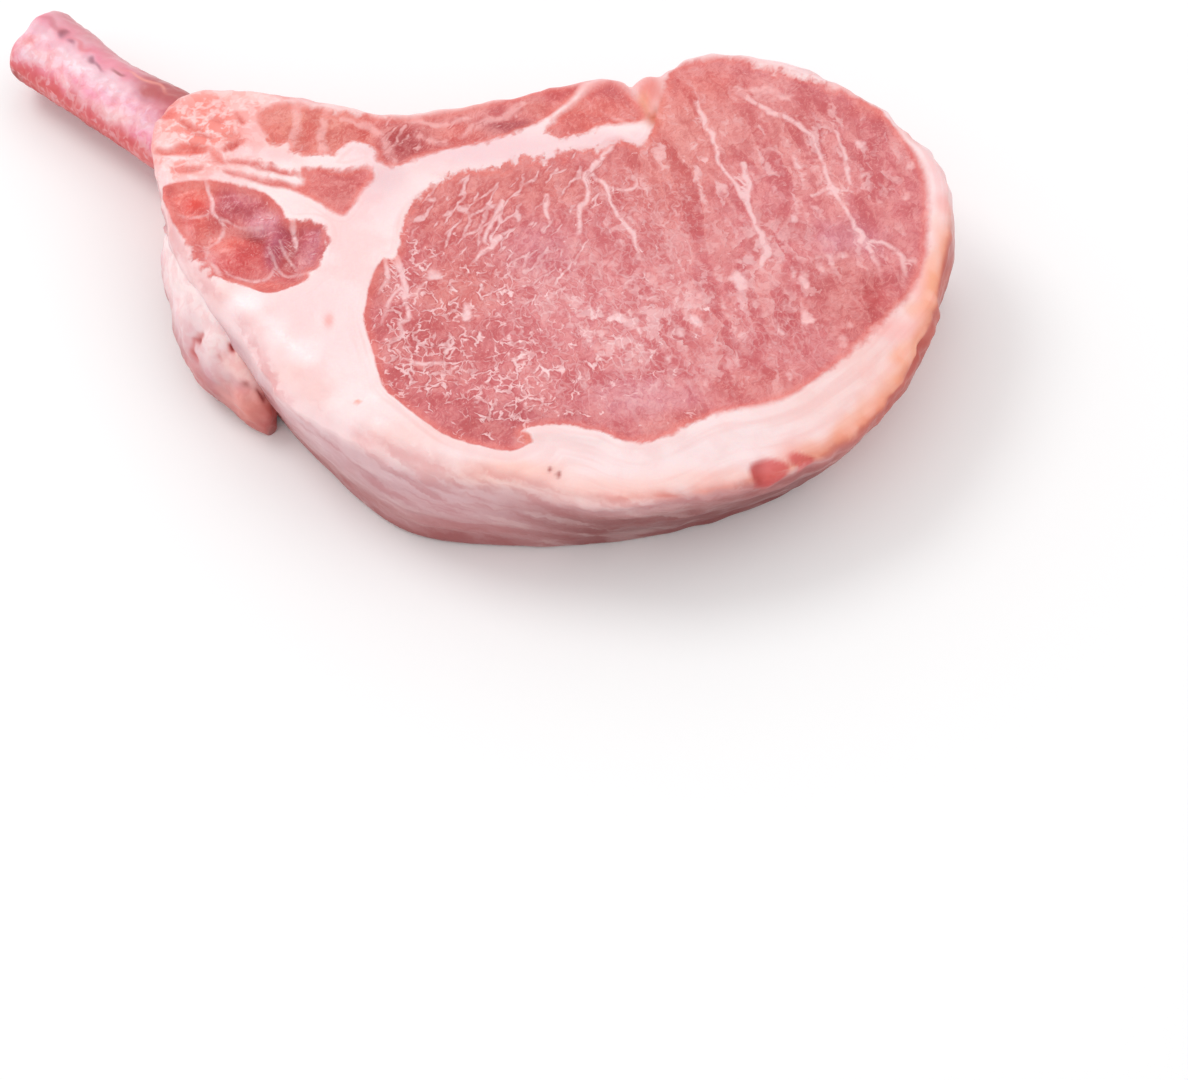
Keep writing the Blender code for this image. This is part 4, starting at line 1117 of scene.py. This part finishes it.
    fading = ramp(tree, mid, 0.40, 0.56, 0.55, 1.0)
    marks = times(tree, curl["Mask"], fading, 0.80)
    shares = (
        (times(tree, crumb["Mask"], fading), 0.72), (times(tree, brushed["Mask"], fading), 0.64), (flakeHighlight, 0.62), (speckle, 0.58),
        (vein, 0.74), (blot, 0.78), (strand, 0.55),
    )
    for mask, share in shares:
        marks = calc(tree, "MAXIMUM", marks, times(tree, mask, share))
    wormy = field(tree, "worms")
    marks = calc(tree, "MULTIPLY_ADD", times(tree, worm["Mask"], wormy), 0.34, marks)

    # lean in redder and paler bundles, strongest where it is brushed
    duller = mixColour(tree, 1.0, lean, (0.88, 0.86, 0.88, 1.0), "MULTIPLY")
    lean = mixColour(tree, field(tree, "bladeShare"), duller, lean)
    redder = mixColour(tree, 1.0, lean, (0.78, 0.44, 0.46, 1.0), "MULTIPLY")
    paler = mixColour(tree, 0.55, lean, (0.90, 0.42, 0.39, 1.0))
    patch = noise(tree, bent, 0.20, 2.0, 0.5)
    leanMix = mixColour(tree, times(tree, ramp(tree, patch, 0.52, 0.40), 0.6), lean, redder)
    leanMix = mixColour(tree, times(tree, ramp(tree, patch, 0.50, 0.62), 0.5), leanMix, paler)
    leanMix = mixColour(tree, times(tree, ramp(tree, bundleTone, 0.55, 0.0), streaked, 0.6), leanMix, redder)
    leanMix = mixColour(tree, times(tree, ramp(tree, bundleTone, 0.45, 1.0), streaked, 0.8), leanMix, paler)
    seamHere = times(tree, ramp(tree, bundle, 0.10, 0.02), ramp(tree, mid, 0.40, 0.58), streaked)
    leanMix = mixColour(tree, times(tree, seamHere, 0.65), leanMix, paler)
    leanMix = mixColour(tree, times(tree, ramp(tree, uphillTone, 0.5, 0.0), strokes, 0.8), leanMix, redder)
    leanMix = mixColour(tree, times(tree, ramp(tree, brush, 0.49, 0.38), strokes, 0.7), leanMix, redder)
    leanMix = mixColour(tree, times(tree, ramp(tree, brush, 0.48, 0.58), strokes, 0.7), leanMix, paler)
    grain = noise(tree, grained, 2.4, 2.0, 0.6)
    leanMix = mixColour(tree, times(tree, ramp(tree, grain, 0.50, 0.36), 0.35), leanMix, redder)
    leanMix = mixColour(tree, times(tree, ramp(tree, grain, 0.52, 0.66), 0.50), leanMix, paler)
    # painted shade beside the pale lines and just past each flake's edge, partly the redder lean between them
    dark = calc(tree, "MAXIMUM", times(tree, curl["Shade"], 0.7), times(tree, worm["Shade"], wormy, 0.5))
    dark = calc(tree, "MAXIMUM", dark, times(tree, brushed["Shade"], 0.7))
    dark = calc(tree, "MAXIMUM", dark, times(tree, behind, 0.6))
    dark = calc(tree, "MAXIMUM", dark, times(tree, gap, 0.45))
    leanMix = mixColour(tree, dark, leanMix, redder)
    paste = mixColour(tree, field(tree, "softEdge"), (*linear("milk"), 1.0), (*linear("flush"), 1.0))
    marbled = mixColour(tree, marks, leanMix, paste)
    fringe = times(tree, ramp(tree, depth, 1.8, 0.3), 0.40)
    marbled = mixColour(tree, fringe, marbled, (*linear("coral"), 1.0))

    # fat with faint layers, which follow the muscles on the face and slant down the side
    bands = addNode(
        tree, "CombineXYZ", {0: field(tree, "leanDepth"), 1: times(tree, axes[0], 0.08), 2: times(tree, axes[1], 0.08)}
    ).outputs[0]
    layers = noise(tree, bands, 0.5, 2.0, 0.6)
    blotchy = noise(tree, bent, 0.10, 2.0, 0.6)
    slope = {"Vector": bent, "Rotation": (0.0, 0.30, 0.0), "Scale": (5.0, 5.0, 1.0)}
    slanted = noise(tree, addNode(tree, "Mapping", slope, vector_type="TEXTURE").outputs[0], 0.34, 2.0, 0.6)
    onWall = field(tree, "wallShare")
    warmFat = mixColour(tree, 1.0, fat, (0.95, 0.80, 0.79, 1.0), "MULTIPLY")
    nearLean = ramp(tree, field(tree, "leanDepth"), -4.5, -1.0)
    nearLean = calc(tree, "MAXIMUM", nearLean, ramp(tree, axes[0], 0.0, 25.0))
    fatMix = mixColour(tree, times(tree, ramp(tree, layers, 0.46, 0.66), nearLean, 0.6), fat, warmFat)
    fatMix = mixColour(tree, times(tree, ramp(tree, blotchy, 0.46, 0.66), 0.5), fatMix, warmFat)
    rosyFat = mixColour(tree, 1.0, fat, (0.84, 0.60, 0.60, 1.0), "MULTIPLY")
    fatMix = mixColour(tree, times(tree, ramp(tree, slanted, 0.46, 0.64), onWall, 0.8), fatMix, rosyFat)
    paleFat = mixColour(tree, 0.35, fat, (0.93, 0.74, 0.72, 1.0))
    fatMix = mixColour(tree, times(tree, ramp(tree, slanted, 0.46, 0.34), onWall, 0.45), fatMix, paleFat)
    collar = field(tree, "collar")
    patchy = noise(tree, aside, 0.26, 2.0, 0.5)
    fatMix = mixColour(tree, times(tree, ramp(tree, patchy, 0.47, 0.57), collar, 0.80), fatMix, (*linear("coral"), 1.0))
    fatMix = mixColour(tree, times(tree, ramp(tree, mid, 0.50, 0.60), collar, 0.75), fatMix, (*linear("cream"), 1.0))
    wisps = useGroup(tree, curls, {"Vector": aside, "Scale": 0.40, "Width": 0.20, "Amount": times(tree, collar, 0.95)})
    fatMix = mixColour(tree, times(tree, wisps["Shade"], collar, 0.5), fatMix, (*linear("coral"), 1.0))
    fatMix = mixColour(tree, times(tree, wisps["Mask"], collar, 0.60), fatMix, (*linear("cream"), 1.0))
    feed(tree, mixColour(tree, inLean, fatMix, marbled), shader.inputs["Base Color"])

    skin = useGroup(tree, moist, {"Vector": where, "Grain": 1.2, "Dry": 0.48, "Wet": 0.30})
    wet = calc(tree, "MULTIPLY_ADD", field(tree, "bladeShare"), -0.12, skin["Roughness"])
    feed(tree, wet, shader.inputs["Roughness"])
    steps = calc(tree, "MULTIPLY_ADD", saw, 0.35, times(tree, brush, 1.5))
    raised = calc(tree, "MULTIPLY_ADD", times(tree, steps, inLean), 0.5, skin["Height"])
    addRelief(tree, shader, raised, 0.8, 0.3)
    return material


def boneMaterial(curls, moist):
    material, tree, shader = skinMaterial("boneSurface", 0.10)
    where = millimetres(tree)
    tint, lace = field(tree, "boneTint", True), field(tree, "lace")
    bent = swirled(tree, where, 0.5, 1.4)
    slow, mid = noise(tree, bent, 0.26, 2.0, 0.5), noise(tree, bent, 0.55, 2.0, 0.5)
    redder = mixColour(tree, 1.0, tint, (0.92, 0.66, 0.70, 1.0), "MULTIPLY")
    paler = mixColour(tree, 0.6, tint, (0.96, 0.72, 0.78, 1.0))
    mottled = mixColour(tree, times(tree, ramp(tree, slow, 0.50, 0.62), 0.55), tint, redder)
    mottled = mixColour(tree, times(tree, ramp(tree, mid, 0.48, 0.38), 0.45), mottled, redder)
    mottled = mixColour(tree, times(tree, ramp(tree, mid, 0.52, 0.62), 0.5, ramp(tree, lace, 0.0, 1.0, 0.3, 1.0)), mottled, paler)
    mottled = mixColour(tree, times(tree, ramp(tree, lace, 1.0, 0.0), 0.75), mottled, redder)
    net = useGroup(tree, curls, {"Vector": bent, "Scale": 0.60, "Width": 0.16, "Amount": 0.7})
    mottled = mixColour(tree, times(tree, net["Mask"], lace, 0.22), mottled, (*linear("milk"), 1.0))
    mottled = mixColour(tree, times(tree, net["Shade"], lace, 0.25), mottled, (*linear("rose"), 1.0))
    feed(tree, mottled, shader.inputs["Base Color"])
    skin = useGroup(tree, moist, {"Vector": where, "Grain": 1.1, "Dry": 0.46, "Wet": 0.30})
    feed(tree, skin["Roughness"], shader.inputs["Roughness"])
    addRelief(tree, shader, calc(tree, "MULTIPLY_ADD", mid, 0.5, skin["Height"]), 0.6, 0.3)
    return material


def flapMaterial(moist):
    material, tree, shader = skinMaterial("flapSurface", 0.15)
    where = millimetres(tree)
    tint = field(tree, "flapTint", True)
    layer = noise(tree, swirled(tree, where, 0.3, 4.0), 0.35, 3.0, 0.6)
    deeper = mixColour(tree, 1.0, tint, (0.93, 0.74, 0.75, 1.0), "MULTIPLY")
    feed(tree, mixColour(tree, ramp(tree, layer, 0.42, 0.64, 0.0, 0.6), tint, deeper), shader.inputs["Base Color"])
    skin = useGroup(tree, moist, {"Vector": where, "Grain": 0.9, "Dry": 0.48, "Wet": 0.32})
    feed(tree, skin["Roughness"], shader.inputs["Roughness"])
    addRelief(tree, shader, skin["Height"], 0.4, 0.3)
    return material


studio = {
    "camera": (0.02154, -0.33726, 0.46106),
    "tilt": np.radians(32),
    "lens": 100,
    "floor": 3.0,
    "sky": 0.87,
    "softbox": {"place": (-0.50, 0.34, 0.76), "size": 0.42, "power": 2.1},
    "fill": {"place": (0.55, 0.10, 0.80), "size": 0.6, "power": 0.5},
}


def pointAt(obj, target):
    way = np.array(target) - np.array(obj.location)
    flat = np.hypot(way[0], way[1])
    obj.rotation_euler = (np.arctan2(flat, -way[2]), 0, np.arctan2(-way[0], way[1]))


def buildStudio():
    scene = bpy.context.scene
    scene.view_settings.view_transform = "Standard"
    camera = bpy.data.objects.new("camera", bpy.data.cameras.new("camera"))
    camera.location = studio["camera"]
    camera.rotation_euler = (studio["tilt"], 0, 0)
    camera.data.lens = studio["lens"]
    scene.collection.objects.link(camera)
    scene.camera = camera
    for name in ("softbox", "fill"):
        light = bpy.data.objects.new(name, bpy.data.lights.new(name, "AREA"))
        light.data.shape = "DISK"
        light.data.size = studio[name]["size"]
        light.data.energy = studio[name]["power"]
        light.location = studio[name]["place"]
        pointAt(light, (0, 0, 0.012))
        scene.collection.objects.link(light)
    world = bpy.data.worlds.new("sky")
    world.use_nodes = True
    world.node_tree.nodes["Background"].inputs["Color"].default_value = (1, 1, 1, 1)
    world.node_tree.nodes["Background"].inputs["Strength"].default_value = studio["sky"]
    scene.world = world
    half = studio["floor"] / 2
    mesh = bpy.data.meshes.new("floor")
    mesh.from_pydata([(-half, -half, 0), (half, -half, 0), (half, half, 0), (-half, half, 0)], [], [(0, 1, 2, 3)])
    floor = bpy.data.objects.new("floor", mesh)
    scene.collection.objects.link(floor)
    paper = bpy.data.materials.new("palePaper")
    paper.use_nodes = True
    paper.node_tree.nodes["Principled BSDF"].inputs["Base Color"].default_value = (0.97, 0.97, 0.972, 1)
    paper.node_tree.nodes["Principled BSDF"].inputs["Roughness"].default_value = 0.9
    mesh.materials.append(paper)


fleshNodes = ["fat_cover", "loin_eye", "blade_muscle", "rib_muscle", "corner_muscle", "wedge_muscle"]
shift = planShift()
print("plan shift", shift)
buildStudio()
print("studio ready")

curls, flecks, moist = curlGroup(), fleckGroup(), moistGroup()
chopSkin = buildFlesh()
chopSkin.data.materials.append(fleshMaterial(curls, flecks, moist))
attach(chopSkin, "root")
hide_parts(*fleshNodes)
print("flesh built")

boneSkin = buildBone()
boneSkin.data.materials.append(boneMaterial(curls, moist))
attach(boneSkin, "root")
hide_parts("rib_bone")
print("bone built")

flapSkin = buildFlap()
flapSkin.data.materials.append(flapMaterial(moist))
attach(flapSkin, "root")
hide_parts("side_flap")
print("flap built")

bpy.context.view_layer.update()
